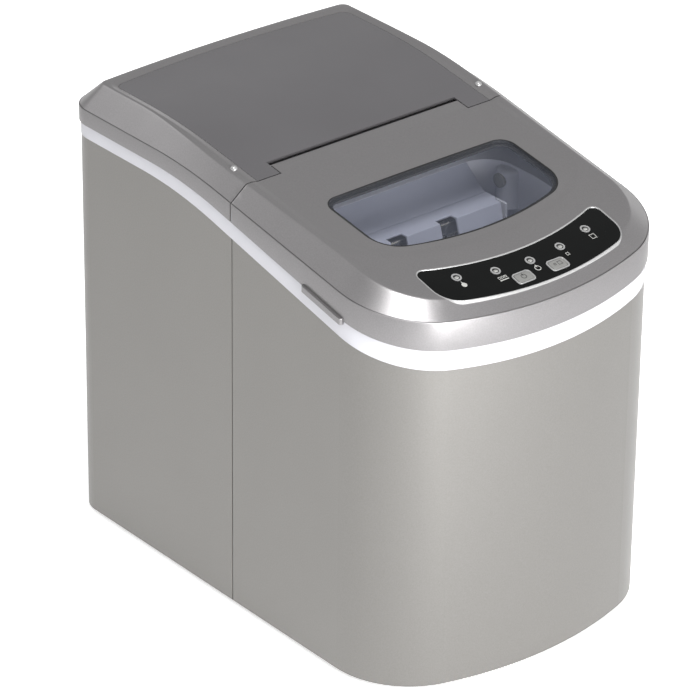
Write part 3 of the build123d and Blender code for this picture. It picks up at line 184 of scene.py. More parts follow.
def shoulder(inset, y):
    """Height of the leaning shoulder at an inset from the rim."""
    lean = FRONT_LEAN + (REAR_LEAN - FRONT_LEAN) * ease(10.0, 80.0, y)
    return rim_top(y) + (inset - CREASE) / tan(lean)


def field(x, y):
    """Height of the top: a sunk field with a ridge round it that fades towards the front."""
    outside = -FIELD_PLAN.depth(x, y)
    rise = min(max(outside / RIDGE_WIDTH, 0.0), 1.0)
    low, high = height(PANEL, y), height(CREST, y)
    return low + (high - low) * (0.75 * rise + 0.25 * ease(0.0, 1.0, rise))


def top_height(x, y, inset):
    """Height of the top's skin, rounded where the shoulder meets the ridge."""
    return soft_min(field(x, y), shoulder(inset, y), 0.7)


# --- Mesh helpers -----------------------------------------------------------------------------------
def finished(bm, name, material, body, smooth_angle=35.0, weld=True):
    """Turns a bmesh in millimetres into a piece that rides on a body."""
    if weld:
        bmesh.ops.remove_doubles(bm, verts=bm.verts, dist=1e-4)
    bmesh.ops.transform(bm, matrix=Matrix.Scale(MM, 4), verts=bm.verts)
    mesh = bpy.data.meshes.new(name)
    bm.to_mesh(mesh)
    bm.free()
    mesh.materials.append(material)
    smoothed(mesh, smooth_angle)
    piece = bpy.data.objects.new(name, mesh)
    bpy.context.collection.objects.link(piece)
    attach(piece, body)
    return piece


def smoothed(mesh, angle=30.0):
    """Smooth shading, with an edge kept sharp from an angle in degrees."""
    mesh.shade_smooth()
    mesh.set_sharp_from_angle(angle=radians(angle))


def box_into(bm, low, high, bevel=0.0):
    """Adds a box between two corners, with its edges rounded."""
    middle = (Vector(low) + Vector(high)) / 2
    size = Vector(high) - Vector(low)
    matrix = Matrix.Translation(middle) @ Matrix.Diagonal((*size, 1.0))
    verts = bmesh.ops.create_cube(bm, size=1.0, matrix=matrix)["verts"]
    if bevel:
        edges = list({e for v in verts for e in v.link_edges})
        bmesh.ops.bevel(
            bm, geom=edges, offset=bevel, offset_type="OFFSET", segments=3, profile=0.5,
            affect="EDGES", material=-1, clamp_overlap=True,
        )


def all_of(bm):
    """Everything in a bmesh, as its cutting operators want it."""
    return bm.verts[:] + bm.edges[:] + bm.faces[:]


def numbered(verts, tag):
    """Gives each vertex of a ring its number, which what grows from it keeps."""
    for number, vert in enumerate(verts):
        vert[tag] = number


def grown(bm, edges, place):
    """Draws a ring of edges on by one step, each new vertex to its place; gives back the new ring."""
    made = bmesh.ops.extrude_edge_only(bm, edges=edges)["geom"]
    for vert in [g for g in made if isinstance(g, bmesh.types.BMVert)]:
        vert.co = place(vert)
    return [g for g in made if isinstance(g, bmesh.types.BMEdge) and len(g.link_faces) == 1]


def open_edges(bm):
    """The edges that only one face uses."""
    return [edge for edge in bm.edges if len(edge.link_faces) == 1]


def facing_up(bm):
    """Makes an open sheet's faces agree, with their fronts upward."""
    bmesh.ops.recalc_face_normals(bm, faces=bm.faces)
    if sum(face.normal.z * face.calc_area() for face in bm.faces) < 0:
        bmesh.ops.reverse_faces(bm, faces=bm.faces)


def baked(piece):
    """Turns a piece's modifiers into its mesh."""
    mesh = bpy.data.meshes.new_from_object(piece.evaluated_get(bpy.context.evaluated_depsgraph_get()))
    piece.modifiers.clear()
    piece.data = mesh


def rod_into(bm, radius, low, high, segments=32):
    """Adds a closed round bar between two points."""
    low, high = Vector(low), Vector(high)
    turn = (high - low).to_track_quat("Z", "Y").to_matrix().to_4x4()
    bmesh.ops.create_cone(
        bm, cap_ends=True, segments=segments, radius1=radius, radius2=radius,
        depth=(high - low).length, matrix=Matrix.Translation((low + high) / 2) @ turn,
    )


# --- Materials --------------------------------------------------------------------------------------
def linear(code):
    """An sRGB hex colour as linear RGBA."""
    parts = [int(code[i:i + 2], 16) / 255 for i in (0, 2, 4)]
    return (*[p / 12.92 if p <= 0.04045 else ((p + 0.055) / 1.055) ** 2.4 for p in parts], 1.0)


def add(tree, kind, inputs, **settings):
    """Adds a node. An input is a value, or a socket to link from."""
    made = tree.nodes.new(kind)
    for name, value in settings.items():
        setattr(made, name, value)
    for name, value in inputs.items():
        if isinstance(value, bpy.types.NodeSocket):
            tree.links.new(value, made.inputs[name])
        else:
            made.inputs[name].default_value = value
    return made


def surface(name, colour, roughness, **shader_inputs):
    """A Principled material, with its tree, its shader and the piece's own coordinates."""
    material = bpy.data.materials.new(name)
    material.use_nodes = True
    tree = material.node_tree
    shader = tree.nodes["Principled BSDF"]
    shader.inputs["Base Color"].default_value = linear(colour)
    shader.inputs["Roughness"].default_value = roughness
    for key, value in shader_inputs.items():
        shader.inputs[key.replace("_", " ")].default_value = value
    place = add(tree, "ShaderNodeTexCoord", {}).outputs["Object"]
    return material, tree, shader, place


MIX_DARK, MIX_LIGHT, MIX_RESULT = 6, 7, 2  # a Mix node's colour sockets


def mottled(tree, shader, place, size_mm, dark, light, detail=2.0):
    """Colour that wanders between two near shades over patches of a real size."""
    noise = add(tree, "ShaderNodeTexNoise", {"Vector": place, "Scale": 1 / (size_mm * MM), "Detail": detail})
    blend = tree.nodes.new("ShaderNodeMix")
    blend.data_type = "RGBA"
    tree.links.new(noise.outputs["Fac"], blend.inputs["Factor"])
    blend.inputs[MIX_DARK].default_value = linear(dark)
    blend.inputs[MIX_LIGHT].default_value = linear(light)
    tree.links.new(blend.outputs[MIX_RESULT], shader.inputs["Base Color"])
    return noise


def grained(tree, shader, place, size_mm, depth_mm, strength=1.0):
    """Relief of a real grain size and depth."""
    noise = add(tree, "ShaderNodeTexNoise", {"Vector": place, "Scale": 1 / (size_mm * MM), "Detail": 3.0})
    bump = add(
        tree, "ShaderNodeBump",
        {"Height": noise.outputs["Fac"], "Distance": depth_mm * MM, "Strength": strength},
    )
    tree.links.new(bump.outputs["Normal"], shader.inputs["Normal"])
    return noise


def uneven_gloss(tree, shader, place, size_mm, low, high):
    """Roughness that wanders between two values, as handled surfaces do."""
    noise = add(tree, "ShaderNodeTexNoise", {"Vector": place, "Scale": 1 / (size_mm * MM), "Detail": 4.0})
    spread = add(
        tree, "ShaderNodeMapRange",
        {"Value": noise.outputs["Fac"], "From Min": 0.3, "From Max": 0.7, "To Min": low, "To Max": high},
    )
    tree.links.new(spread.outputs["Result"], shader.inputs["Roughness"])


def painted_steel():
    """Sheet steel with a silver flake paint: warm grey, with a fine sparkle under a soft sheen."""
    material, tree, shader, place = surface("silver_flake_paint_on_steel", "8B8986", 0.34, Metallic=0.8)
    mottled(tree, shader, place, 0.9, "84827F", "92908D")  # flakes of 0.05 mm, drawn coarser to show
    uneven_gloss(tree, shader, place, 60.0, 0.31, 0.36)
    grained(tree, shader, place, 1.2, 0.006)
    shader.inputs["Coat Weight"].default_value = 0.25
    shader.inputs["Coat Roughness"].default_value = 0.3
    return material


def painted_abs():
    """Moulded ABS sprayed with silver lacquer: neutral grey, with flake seen at a low angle."""
    material, tree, shader, place = surface("silver_lacquer_on_moulded_abs", "949293", 0.32, Metallic=0.75)
    mottled(tree, shader, place, 0.8, "8B898A", "9D9B9C")
    uneven_gloss(tree, shader, place, 30.0, 0.3, 0.35)
    grained(tree, shader, place, 1.0, 0.006)
    shader.inputs["Coat Weight"].default_value = 0.08
    shader.inputs["Coat Roughness"].default_value = 0.22
    return material


def smoked_plate():
    """Injection-moulded ABS with a dark glossy lacquer: it mirrors the room softly."""
    material, tree, shader, place = surface("dark_gloss_lacquer_plate", "7E7C7F", 0.2, Metallic=0.7)
    mottled(tree, shader, place, 60.0, "79777A", "838184")
    uneven_gloss(tree, shader, place, 45.0, 0.18, 0.25)
    shader.inputs["Coat Weight"].default_value = 0.5
    shader.inputs["Coat Roughness"].default_value = 0.12
    return material


def white_abs():
    """Gloss white ABS, moulded in one piece: clean, with a faint blue cast."""
    material, tree, shader, place = surface("gloss_white_abs", "D6D6DC", 0.26)
    mottled(tree, shader, place, 25.0, "D3D3D9", "D9D9DF")
    grained(tree, shader, place, 2.0, 0.004)
    return material


def black_acrylic():
    """Back-printed acrylic: a deep black under a clear gloss."""
    material, tree, shader, place = surface("black_printed_acrylic", "0B0C0C", 0.14, Specular_IOR_Level=0.14)
    mottled(tree, shader, place, 12.0, "0A0B0B", "0E0F0F")
    uneven_gloss(tree, shader, place, 18.0, 0.14, 0.22)
    return material


def silver_trim():
    """Satin silver moulding: small frames round lamps, keys and the panel."""
    material, tree, shader, place = surface("satin_silver_moulding", "B4B4B4", 0.3, Metallic=0.5)
    mottled(tree, shader, place, 1.0, "ADADAD", "BCBCBC")
    return material


def key_cap():
    """Moulded keys in pale grey, matt from handling."""
    material, tree, shader, place = surface("pale_grey_key_plastic", "7E7E7C", 0.42)
    grained(tree, shader, place, 0.8, 0.01)
    return material


def clear_pane():
    """Clear polycarbonate: a faint cool tint and a mirror gloss."""
    material, tree, shader, place = surface("clear_polycarbonate", "8A90A0", 0.04, Alpha=0.07)
    uneven_gloss(tree, shader, place, 40.0, 0.03, 0.08)
    material.surface_render_method = "DITHERED"
    return material


def tub_abs():
    """Food-safe moulded ABS in a cool white, lightly satin."""
    material, tree, shader, place = surface("cool_white_food_abs", "E4E6F2", 0.38)
    mottled(tree, shader, place, 30.0, "DFE1EE", "E9EBF5")
    grained(tree, shader, place, 1.6, 0.008)
    return material


def basket_plastic():
    """Translucent grey polypropylene, moulded."""
    material, tree, shader, place = surface("grey_polypropylene", "AEB2BE", 0.4)
    mottled(tree, shader, place, 20.0, "A8ACB9", "B4B8C3")
    grained(tree, shader, place, 1.4, 0.01)
    return material


def grey_blue_plastic():
    """Grey-blue acetal of the ice pusher, satin with soft edges."""
    material, tree, shader, place = surface("grey_blue_acetal", "BCC0D2", 0.35)
    mottled(tree, shader, place, 22.0, "B6BACD", "C3C7D8")
    return material


def soft_rubber():
    """Moulded black rubber: matt, with a dusty bloom."""
    material, tree, shader, place = surface("black_rubber", "1B1B1C", 0.7)
    mottled(tree, shader, place, 9.0, "161617", "222223")
    grained(tree, shader, place, 0.9, 0.03)
    return material


def black_moulding():
    """Black polypropylene with a fine spark-eroded texture."""
    material, tree, shader, place = surface("black_textured_polypropylene", "1E1F20", 0.55)
    grained(tree, shader, place, 0.7, 0.03)
    return material


def galvanised():
    """Zinc-coated sheet: cool grey with broad crystal patches."""
    material, tree, shader, place = surface("galvanised_steel", "A6A9AB", 0.42, Metallic=0.9)
    cells = add(tree, "ShaderNodeTexVoronoi", {"Vector": place, "Scale": 1 / (7 * MM)})
    spread = add(
        tree, "ShaderNodeMapRange", {"Value": cells.outputs["Distance"], "To Min": 0.34, "To Max": 0.52}
    )
    tree.links.new(spread.outputs["Result"], shader.inputs["Roughness"])
    return material


def nickel_plate():
    """Bright nickel on copper and steel, slightly clouded."""
    material, tree, shader, place = surface("nickel_plate", "C9C7C1", 0.2, Metallic=1.0)
    uneven_gloss(tree, shader, place, 6.0, 0.14, 0.3)
    return material


def black_enamel():
    """Stoved black enamel on pressed steel: thick, glossy, a little rippled."""
    material, tree, shader, place = surface("stoved_black_enamel", "0E0E0F", 0.2)
    grained(tree, shader, place, 3.0, 0.03)
    return material


def fin_aluminium():
    """Thin rolled aluminium fins."""
    material, tree, shader, place = surface("rolled_aluminium_fins", "C4C6C8", 0.35, Metallic=1.0)
    uneven_gloss(tree, shader, place, 4.0, 0.3, 0.42)
    return material


def copper_tube():
    """Drawn copper, with tarnish in soft patches."""
    material, tree, shader, place = surface("drawn_copper", "B8734E", 0.3, Metallic=1.0)
    mottled(tree, shader, place, 14.0, "9C5C3D", "C4805A")
    return material


def circuit_laminate():
    """Glass-epoxy laminate under green solder mask."""
    material, tree, shader, place = surface("green_solder_mask", "14502F", 0.35)
    mottled(tree, shader, place, 2.0, "114728", "195C37")
    return material


def lamp_lens():
    """Clear styrene lenses over unlit lamps: pale, with a darker well."""
    material, tree, shader, place = surface("clear_styrene_lens", "9C9C9A", 0.15)
    mottled(tree, shader, place, 1.4, "83837F", "B7B7B5")
    return material


def lamp_well():
    """Black moulded wells behind the lamps' domes."""
    material, tree, shader, place = surface("black_lamp_well", "151515", 0.5)
    mottled(tree, shader, place, 1.0, "101010", "1B1B1B")
    return material


def silicone_tube():
    """Milky silicone rubber."""
    material, tree, shader, place = surface("milky_silicone", "C6C4BB", 0.5)
    mottled(tree, shader, place, 12.0, "C0BEB4", "CCCAC2")
    return material


def foam_jacket():
    """Cut polyethylene foam with open cells at the surface."""
    material, tree, shader, place = surface("cut_polyethylene_foam", "D8CFA8", 0.9)
    cells = add(tree, "ShaderNodeTexVoronoi", {"Vector": place, "Scale": 1 / (1.5 * MM)})
    bump = add(tree, "ShaderNodeBump", {"Height": cells.outputs["Distance"], "Distance": 0.3 * MM})
    tree.links.new(bump.outputs["Normal"], shader.inputs["Normal"])
    return material


def print_ink():
    """Pale screen-printed ink for the panel's marks."""
    material, tree, shader, place = surface("pale_screen_print_ink", "B5B5B1", 0.5)
    mottled(tree, shader, place, 0.8, "A8A8A4", "BFBFBC")
    return material


STEEL_PAINT, ABS_PAINT, PLATE, WHITE = painted_steel(), painted_abs(), smoked_plate(), white_abs()
ACRYLIC, TRIM, KEY, PANE = black_acrylic(), silver_trim(), key_cap(), clear_pane()
TUB, BASKET, PUSHER, RUBBER = tub_abs(), basket_plastic(), grey_blue_plastic(), soft_rubber()
BLACK, ZINC, NICKEL, ENAMEL = black_moulding(), galvanised(), nickel_plate(), black_enamel()
FINS, COPPER, LAMINATE, LENS = fin_aluminium(), copper_tube(), circuit_laminate(), lamp_lens()
SILICONE, FOAM, INK, WELL = silicone_tube(), foam_jacket(), print_ink(), lamp_well()

FINISHES = {
    STEEL_PAINT: ["front_panel", "rear_housing"],
    ABS_PAINT: ["lid_grips", "rear_top_cover", "lid_shell"],
    PLATE: ["rear_top_plate"],
    WHITE: ["trim_band"],
    ACRYLIC: ["control_fascia"],
    TRIM: ["lamp_rings", "lid_rest_bumpers"],
    KEY: ["control_shield"],
    PANE: ["lid_window"],
    TUB: ["inner_tub", "head_frame", "sensor_housings", "water_tray"],
    BASKET: ["ice_basket"],
    PUSHER: ["ice_shovel", "head_cover"],
    RUBBER: ["feet", "cord_gland", "window_gasket", "compressor_mounts", "drain_plug"],
    BLACK: ["base_pan", "fan_shroud", "fan_blade", "electrics_box", "tray_motor", "water_pump", "drain_pipe"],
    ZINC: ["bulkhead", "hot_gas_valve"],
    NICKEL: ["evaporator", "hinge_pins", "housing_screws"],
    ENAMEL: ["compressor", "fan_motor"],
    FINS: ["condenser"],
    COPPER: ["copper_pipes", "filter_drier"],
    LAMINATE: ["control_board", "main_board"],
    LENS: ["lamp_lenses", "sensor_lenses"],
    SILICONE: ["water_hose"],
    FOAM: ["tub_insulation"],
}
for finish, names in FINISHES.items():
    for name in names:
        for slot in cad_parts[name].material_slots:
            slot.material = finish


# --- Lid and rear top mouldings ---------------------------------------------------------------------
GROOVE = [(0.0, -0.5), (0.15, -0.12), (0.35, 0.0), (0.4, -0.8), (0.8, -0.8)]
SHOULDER_SHARES = [0.0, 0.12, 0.3, 0.5, 0.7, 0.85, 0.93, 0.97, 1.0]
CREST_SHARES = [0.02, 0.1, 0.4, 0.7, 0.9, 1.0]
RIDGE_SHARES = [0.01, 0.04, 0.1, 0.25, 0.45, 0.65, 0.8, 0.87, 0.9, 0.93, 0.96, 0.985, 1.0]


def section(rim, inner):
    """Places from a point of the rim up to the matching point of the field's edge."""
    rim, inner = Vector(rim), Vector(inner)

    def inset_at(share):
        """Inset from the rim at a share of the way in."""
        return max(RIM_PLAN.depth(*rim.lerp(inner, share)), 0.0)

    def share_of(reached):
        """The share at which a test first holds, found by halving."""
        low, high = 0.0, 1.0
        for _ in range(30):
            middle = (low + high) / 2
            low, high = (low, middle) if reached(middle) else (middle, high)
        return low

    def above_crest(share):
        """Whether the shoulder has climbed past the ridge's height."""
        spot = rim.lerp(inner, share)
        return shoulder(inset_at(share), spot.y) > height(CREST, spot.y)

    crest = share_of(above_crest)
    points = [(*rim, height(RIM_BOTTOM, rim.y))]
    for inset, drop in GROOVE:
        spot = rim.lerp(inner, share_of(lambda share: inset_at(share) > inset) if inset else 0.0)
        points.append((*spot, rim_top(spot.y) + drop))
    groove_end = share_of(lambda share: inset_at(share) > GROOVE[-1][0])
    shares = [groove_end + (crest - groove_end) * share for share in SHOULDER_SHARES]
    ridge = share_of(lambda share: FIELD_PLAN.depth(*rim.lerp(inner, share)) > -RIDGE_WIDTH)
    ridge = max(ridge, crest + (1 - crest) * 0.02)
    shares += [crest + (ridge - crest) * share for share in CREST_SHARES]
    shares += [ridge + (1 - ridge) * share for share in RIDGE_SHARES]
    for share in shares:
        spot = rim.lerp(inner, share)
        points.append((*spot, top_height(*spot, inset_at(share))))
    return points


def skin_mesh(lip):
    """The top's skin as rings drawn inward from the rim, closed by the field or by a sunk lip."""
    sections = [section(rim, inner) for rim, inner in zip(RIM_PLAN.ring(), FIELD_PLAN.ring())]
    if lip:
        for points, ledge in zip(sections, LEDGE_PLAN.ring()):
            x, y, z = points[-1]
            points += [(x, y, z - LEDGE_DROP), (*ledge, height(PANEL, ledge[1]) - LEDGE_DROP)]
    bm = bmesh.new()
    tag = bm.verts.layers.int.new("order")
    verts = bmesh.ops.create_circle(bm, segments=len(sections), radius=1.0)["verts"]
    numbered(verts, tag)
    for vert in verts:
        vert.co = sections[vert[tag]][0]
    edges = bm.edges[:]
    for level in range(1, len(sections[0])):
        edges = grown(bm, edges, lambda vert: sections[vert[tag]][level])
    if not lip:
        bmesh.ops.contextual_create(bm, geom=edges)
        for step in range(int(FIELD_FRONT) + 4, int(FIELD_REAR), 4):
            wide = [f for f in bm.faces if len(f.verts) > 4]
            geom = wide + list({e for f in wide for e in f.edges}) + list({v for f in wide for v in f.verts})
            bmesh.ops.bisect_plane(bm, geom=geom, plane_co=(0, step, 0), plane_no=(0, 1, 0))
        for vert in bm.verts:
            if FIELD_PLAN.depth(vert.co.x, vert.co.y) > 0.01:
                vert.co.z = height(PANEL, vert.co.y)
    facing_up(bm)
    return bm


def keep_side(bm, front):
    """Cuts the skin along the stepped seam and keeps the lid's side or the rear's."""
    way = 1 if front else -1
    tongue, step = TONGUE_HALF - way * SEAM, -way * SEAM
    rear = HINGE_Y if front else TONGUE_REAR + SEAM
    for y in (step, rear):
        bmesh.ops.bisect_plane(bm, geom=all_of(bm), plane_co=(0, y, 0), plane_no=(0, 1, 0))
    for x in (tongue, -tongue):
        bmesh.ops.bisect_plane(bm, geom=all_of(bm), plane_co=(x, 0, 0), plane_no=(1, 0, 0))
    gone = []
    for face in bm.faces:
        middle = face.calc_center_median()
        in_front = middle.y < step or (middle.y < rear and abs(middle.x) < tongue)
        if in_front != front:
            gone.append(face)
    bmesh.ops.delete(bm, geom=gone, context="FACES")
    return bm


def plan_prism(points, low, high):
    """A closed upright prism over a plan."""
    bm = bmesh.new()
    verts = bmesh.ops.create_circle(bm, segments=len(points), radius=1.0, cap_ends=True)["verts"]
    for vert, (x, y) in zip(verts, points):
        vert.co = (x, y, low)
    made = bmesh.ops.extrude_face_region(bm, geom=bm.faces[:])["geom"]
    tops = [g for g in made if isinstance(g, bmesh.types.BMVert)]
    bmesh.ops.translate(bm, vec=(0, 0, high - low), verts=tops)
    bmesh.ops.recalc_face_normals(bm, faces=bm.faces)
    return bm


WINDOW = Plan(77.6, -112.1, 231.1, 23.1, -37.4, 4000.0, 11.1)
CONTROLS_HALF = 77.0
CONTROLS_BOW_Y = 78.69
CONTROLS_REAR_R = 217.0
CONTROLS_FRONT_R = 249.5


def controls_ring(grow=0.0):
    """The control panel's crescent: two arcs round the front bow's centre, with rounded ends."""
    half, rear_r, front_r = CONTROLS_HALF + grow, CONTROLS_REAR_R - grow, CONTROLS_FRONT_R + grow
    rear_corner, front_corner = 6.0 + grow, 18.0 + grow
    points = []
    for way, bow_r, corner in ((1, front_r, front_corner), (-1, rear_r, rear_corner)):
        reach = bow_r - way * corner
        corner_x = half - corner
        corner_y = CONTROLS_BOW_Y - sqrt(reach**2 - corner_x**2)
        out = atan2(CONTROLS_BOW_Y - corner_y, corner_x)
        bow = [pi / 2 - (pi / 2 - out) * i / 24 for i in range(25)]
        run = [(bow_r * cos(a), CONTROLS_BOW_Y - bow_r * sin(a)) for a in bow]
        turn = [out * (1 - i / 12) for i in range(1, 13)] if way > 0 else [
            out - pi + (pi - out) * i / 12 for i in range(1, 13)]
        run += [(corner_x + corner * cos(a), corner_y - corner * sin(a)) for a in turn]
        points.append(run)
    right = points[0] + points[1][::-1]
    return right + [(-x, y) for x, y in right[-2:0:-1]]


def cut_holes(piece, rings):
    """Cuts upright holes through a piece and bakes them into its mesh."""
    for ring in rings:
        cutter_bm = plan_prism(ring, 150.0, 400.0)
        bmesh.ops.transform(cutter_bm, matrix=Matrix.Scale(MM, 4), verts=cutter_bm.verts)
        mesh = bpy.data.meshes.new("cutter")
        cutter_bm.to_mesh(mesh)
        cutter_bm.free()
        cutter = bpy.data.objects.new("cutter", mesh)
        bpy.context.collection.objects.link(cutter)
        cut = piece.modifiers.new("hole", "BOOLEAN")
        cut.object, cut.operation, cut.solver = cutter, "DIFFERENCE", "MANIFOLD"
        baked(piece)
        bpy.data.objects.remove(cutter)


def rounded_edges(piece, width_mm, angle=40.0, segments=2):
    """Softens a piece's edges, as a mould does."""
    bevel = piece.modifiers.new("soft_edges", "BEVEL")
    bevel.width, bevel.segments = width_mm * MM, segments
    bevel.limit_method, bevel.angle_limit = "ANGLE", radians(angle)
    bevel.harden_normals = False


def thickened(piece, wall_mm):
    """Gives a skin its wall, whose inner face stays well inside the rim where the groove folds it."""
    outer = [vert.co.copy() for vert in piece.data.vertices]
    wall = piece.modifiers.new("wall", "SOLIDIFY")
    wall.thickness, wall.offset = wall_mm * MM, -1.0
    baked(piece)
    for number, vert in enumerate(piece.data.vertices):
        if (vert.co - outer[number % len(outer)]).length < 0.01 * MM:
            continue
        for _ in range(4):  # each pull lands a little short at the sides
            short = wall_mm / 2 - RIM_PLAN.depth(vert.co.x / MM, vert.co.y / MM)
            if short > 0:
                vert.co.xy -= vert.co.xy.normalized() * short * MM


def eased_edges(piece, chosen, width_mm):
    """Rounds only the sharp edges whose ends lie where chosen says."""
    bm = bmesh.new()
    bm.from_mesh(piece.data)
    edges = [
        edge for edge in bm.edges
        if len(edge.link_faces) == 2 and edge.calc_face_angle(0.0) > radians(40)
        and all(chosen(vert.co / MM) for vert in edge.verts)
    ]
    bmesh.ops.bevel(
        bm, geom=edges, offset=width_mm * MM, offset_type="OFFSET", segments=3, profile=0.5,
        affect="EDGES", material=-1, clamp_overlap=True,
    )
    bm.to_mesh(piece.data)
    bm.free()
    smoothed(piece.data)


def on_seam(front):
    """A test for places on the lid's or the rear's side of the stepped seam."""
    way = 1 if front else -1
    tongue, step = TONGUE_HALF - way * SEAM, -way * SEAM
    rear = HINGE_Y if front else TONGUE_REAR + SEAM

    def test(place):
        """Whether a place lies on one of the seam's runs."""
        across = abs(place.y - step) < 0.02 and abs(place.x) > tongue - 0.02
        along = abs(abs(place.x) - tongue) < 0.02 and step - 0.02 < place.y < rear + 0.02
        back = abs(place.y - rear) < 0.02 and abs(place.x) < tongue + 0.02
        return across or along or (back and not front)

    return test


def lid_moulding():
    """The lid: shoulder, ridge and field, with the window's and controls' openings; its hinge barrel is a piece of
    its own.
    """
    bm = keep_side(skin_mesh(lip=False), front=True)
    piece = finished(bm, "lid_moulding", ABS_PAINT, "lid")
    thickened(piece, SHELL_WALL)
    cut_holes(piece, [WINDOW.ring(), controls_ring()])
    eased_edges(piece, on_seam(True), 0.45)
    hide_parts("lid_shell")


def lid_barrel():
    """The half-round hinge barrel that ends the tongue."""
    bm = bmesh.new()
    end = TONGUE_HALF - SEAM
    rod_into(bm, BARREL_R, (-end, HINGE_Y, HINGE_Z), (end, HINGE_Y, HINGE_Z), 64)
    piece = finished(bm, "lid_hinge_barrel", ABS_PAINT, "lid")
    rounded_edges(piece, 0.3)


def rear_moulding():
    """The fixed rear top: rim, shoulder and ridge round the sunk plate."""
    bm = keep_side(skin_mesh(lip=True), front=False)
    piece = finished(bm, "rear_top_moulding", ABS_PAINT, "cabinet")
    thickened(piece, SHELL_WALL)
    eased_edges(piece, on_seam(False), 0.45)
    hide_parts("rear_top_cover")


SKIRT_HALF, SKIRT_FRONT, SKIRT_REAR = 104.2, 17.0, 19.0
SKIRT_LOW, SKIRT_TOP = 270.5, 306.6  # its top meets the moulding's underside
LUG_R, LUG_LENGTH, LUG_TOP = 4.4, 11.0, 306.2
LUG_OVERLAP = 0.5  # how far a lug runs into the skirt
UNDER_PLATE = 1.9  # the lugs stop this far below the plate's top
MID_SLOPE = PANEL[1][0][1]  # of the top over the hinge


def rear_skirt():
    """The wall and the two hinge lugs under the rear moulding's front edge."""
    bm = bmesh.new()
    box_into(bm, (-SKIRT_HALF, SKIRT_FRONT, SKIRT_LOW), (SKIRT_HALF, SKIRT_REAR, SKIRT_TOP), 0.3)
    for side in (-1, 1):
        near = side * (TONGUE_HALF + 2 * SEAM)
        far = near + side * LUG_LENGTH
        rod_into(bm, LUG_R, (near, HINGE_Y, HINGE_Z), (far, HINGE_Y, HINGE_Z), 40)
        low = (min(near, far), HINGE_Y, HINGE_Z - LUG_R)
        box_into(bm, low, (max(near, far), SKIRT_FRONT + LUG_OVERLAP, LUG_TOP), 0.2)
    bmesh.ops.bisect_plane(
        bm, geom=all_of(bm), plane_co=(0, HINGE_Y, height(PANEL, HINGE_Y) - UNDER_PLATE),
        plane_no=(0, -MID_SLOPE, 1), clear_outer=True,
    )
    bmesh.ops.holes_fill(bm, edges=open_edges(bm))
    finished(bm, "rear_skirt_and_lugs", ABS_PAINT, "cabinet")


def softened(node, name, material, body, width_mm, angle=30.0, segments=2):
    """A CAD piece with its edges rounded as its mould rounds them."""
    bm = bmesh.new()
    bm.from_mesh(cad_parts[node].data)
    bmesh.ops.remove_doubles(bm, verts=bm.verts, dist=1e-6)
    bmesh.ops.dissolve_limit(bm, angle_limit=radians(0.5), verts=bm.verts, edges=bm.edges)
    bmesh.ops.recalc_face_normals(bm, faces=bm.faces)
    bmesh.ops.transform(bm, matrix=Matrix.Scale(1 / MM, 4), verts=bm.verts)
    piece = finished(bm, name, material, body, smooth_angle=angle)
    rounded_edges(piece, width_mm, angle, segments)
    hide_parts(node)


def panel_laps():
    """The steel lips behind the side seams, where the front panel tucks under the rear housing."""
    bm = bmesh.new()
    for side in (-1, 1):
        outer, inner = side * (HALF_WIDTH - 0.4), side * (HALF_WIDTH - 1.2)
        box_into(bm, (min(outer, inner), -6.0, 6.0), (max(outer, inner), 6.0, 271.0), 0.2)
    finished(bm, "seam_lips", STEEL_PAINT, "cabinet")


lid_moulding()
lid_barrel()
rear_moulding()
rear_skirt()
panel_laps()
softened("key_frames", "key_surrounds", TRIM, "lid", 0.15)
softened("power_key", "power_key_cap", KEY, "power_key", 0.3)
softened("select_key", "select_key_cap", KEY, "select_key", 0.3)
softened("lid_grips", "finger_grips", ABS_PAINT, "lid", 0.5, segments=3)
softened("ice_shovel", "ice_pusher", PUSHER, "shovel", 0.5, segments=3)
softened("head_cover", "head_slope", PUSHER, "cabinet", 0.5, segments=3)
softened("inner_tub", "ice_tub", TUB, "cabinet", 0.6, segments=3)
softened("ice_basket", "basket_moulding", BASKET, "basket", 0.4)


# --- Panel marks ------------------------------------------------------------------------------------
LAMP_ROWS = [(-54.0, -142.5), (-27.0, -148.5), (0.0, -150.5), (27.0, -148.5), (54.0, -142.5)]
KEY_ROWS = [(-14.3, -161.0), (14.3, -161.0)]
KEY_HOLE = [(-7.0, -4.4), (7.0, -4.4), (7.0, 4.4), (-7.0, 4.4)]
FASCIA_INSET, FASCIA_SUNK, FASCIA_THICKNESS = 0.9, 0.1, 1.9
FRAME_SECTION = [  # inset and lift of the frame's corners, from its outer foot over to its inner one
    (0.0, -2.6), (0.0, 0.25), (0.15, 0.45), (0.6, 0.45), (0.75, 0.3), (0.9, -0.05), (0.9, -2.6),
]
DOME_R, DOME_SUNK = 1.7, 0.15
DOME_STEPS = [(0.92, 0.3), (0.7, 0.45), (0.35, 0.55)]  # shares of the radius, and heights
INK_THICKNESS = 0.05
ON_FASCIA, ON_KEY = -0.09, 0.61  # how far the marks' undersides stand off the lid's slope
DIAMOND = (4, pi / 4)  # sides and turn that make a ring or a spot square to the panel


def band(bm, place, radius, width, segments=32, turn=0.0):
    """A flat ring, or a frame with few sides, at a plan point."""
    loops = []
    for reach in (radius, radius - width):
        matrix = Matrix.Translation((*place, 0)) @ Matrix.Rotation(turn, 4, "Z")
        verts = bmesh.ops.create_circle(bm, segments=segments, radius=reach, matrix=matrix)["verts"]
        loops += list({edge for vert in verts for edge in vert.link_edges})
    bmesh.ops.bridge_loops(bm, edges=loops)


def dab(bm, place, size, segments=24, turn=0.0):
    """A flat filled spot, stretched to a width and a height."""
    matrix = Matrix.Translation((*place, 0)) @ Matrix.Diagonal((*size, 1, 1)) @ Matrix.Rotation(turn, 4, "Z")
    return bmesh.ops.create_circle(bm, cap_ends=True, segments=segments, radius=1.0, matrix=matrix)["verts"]


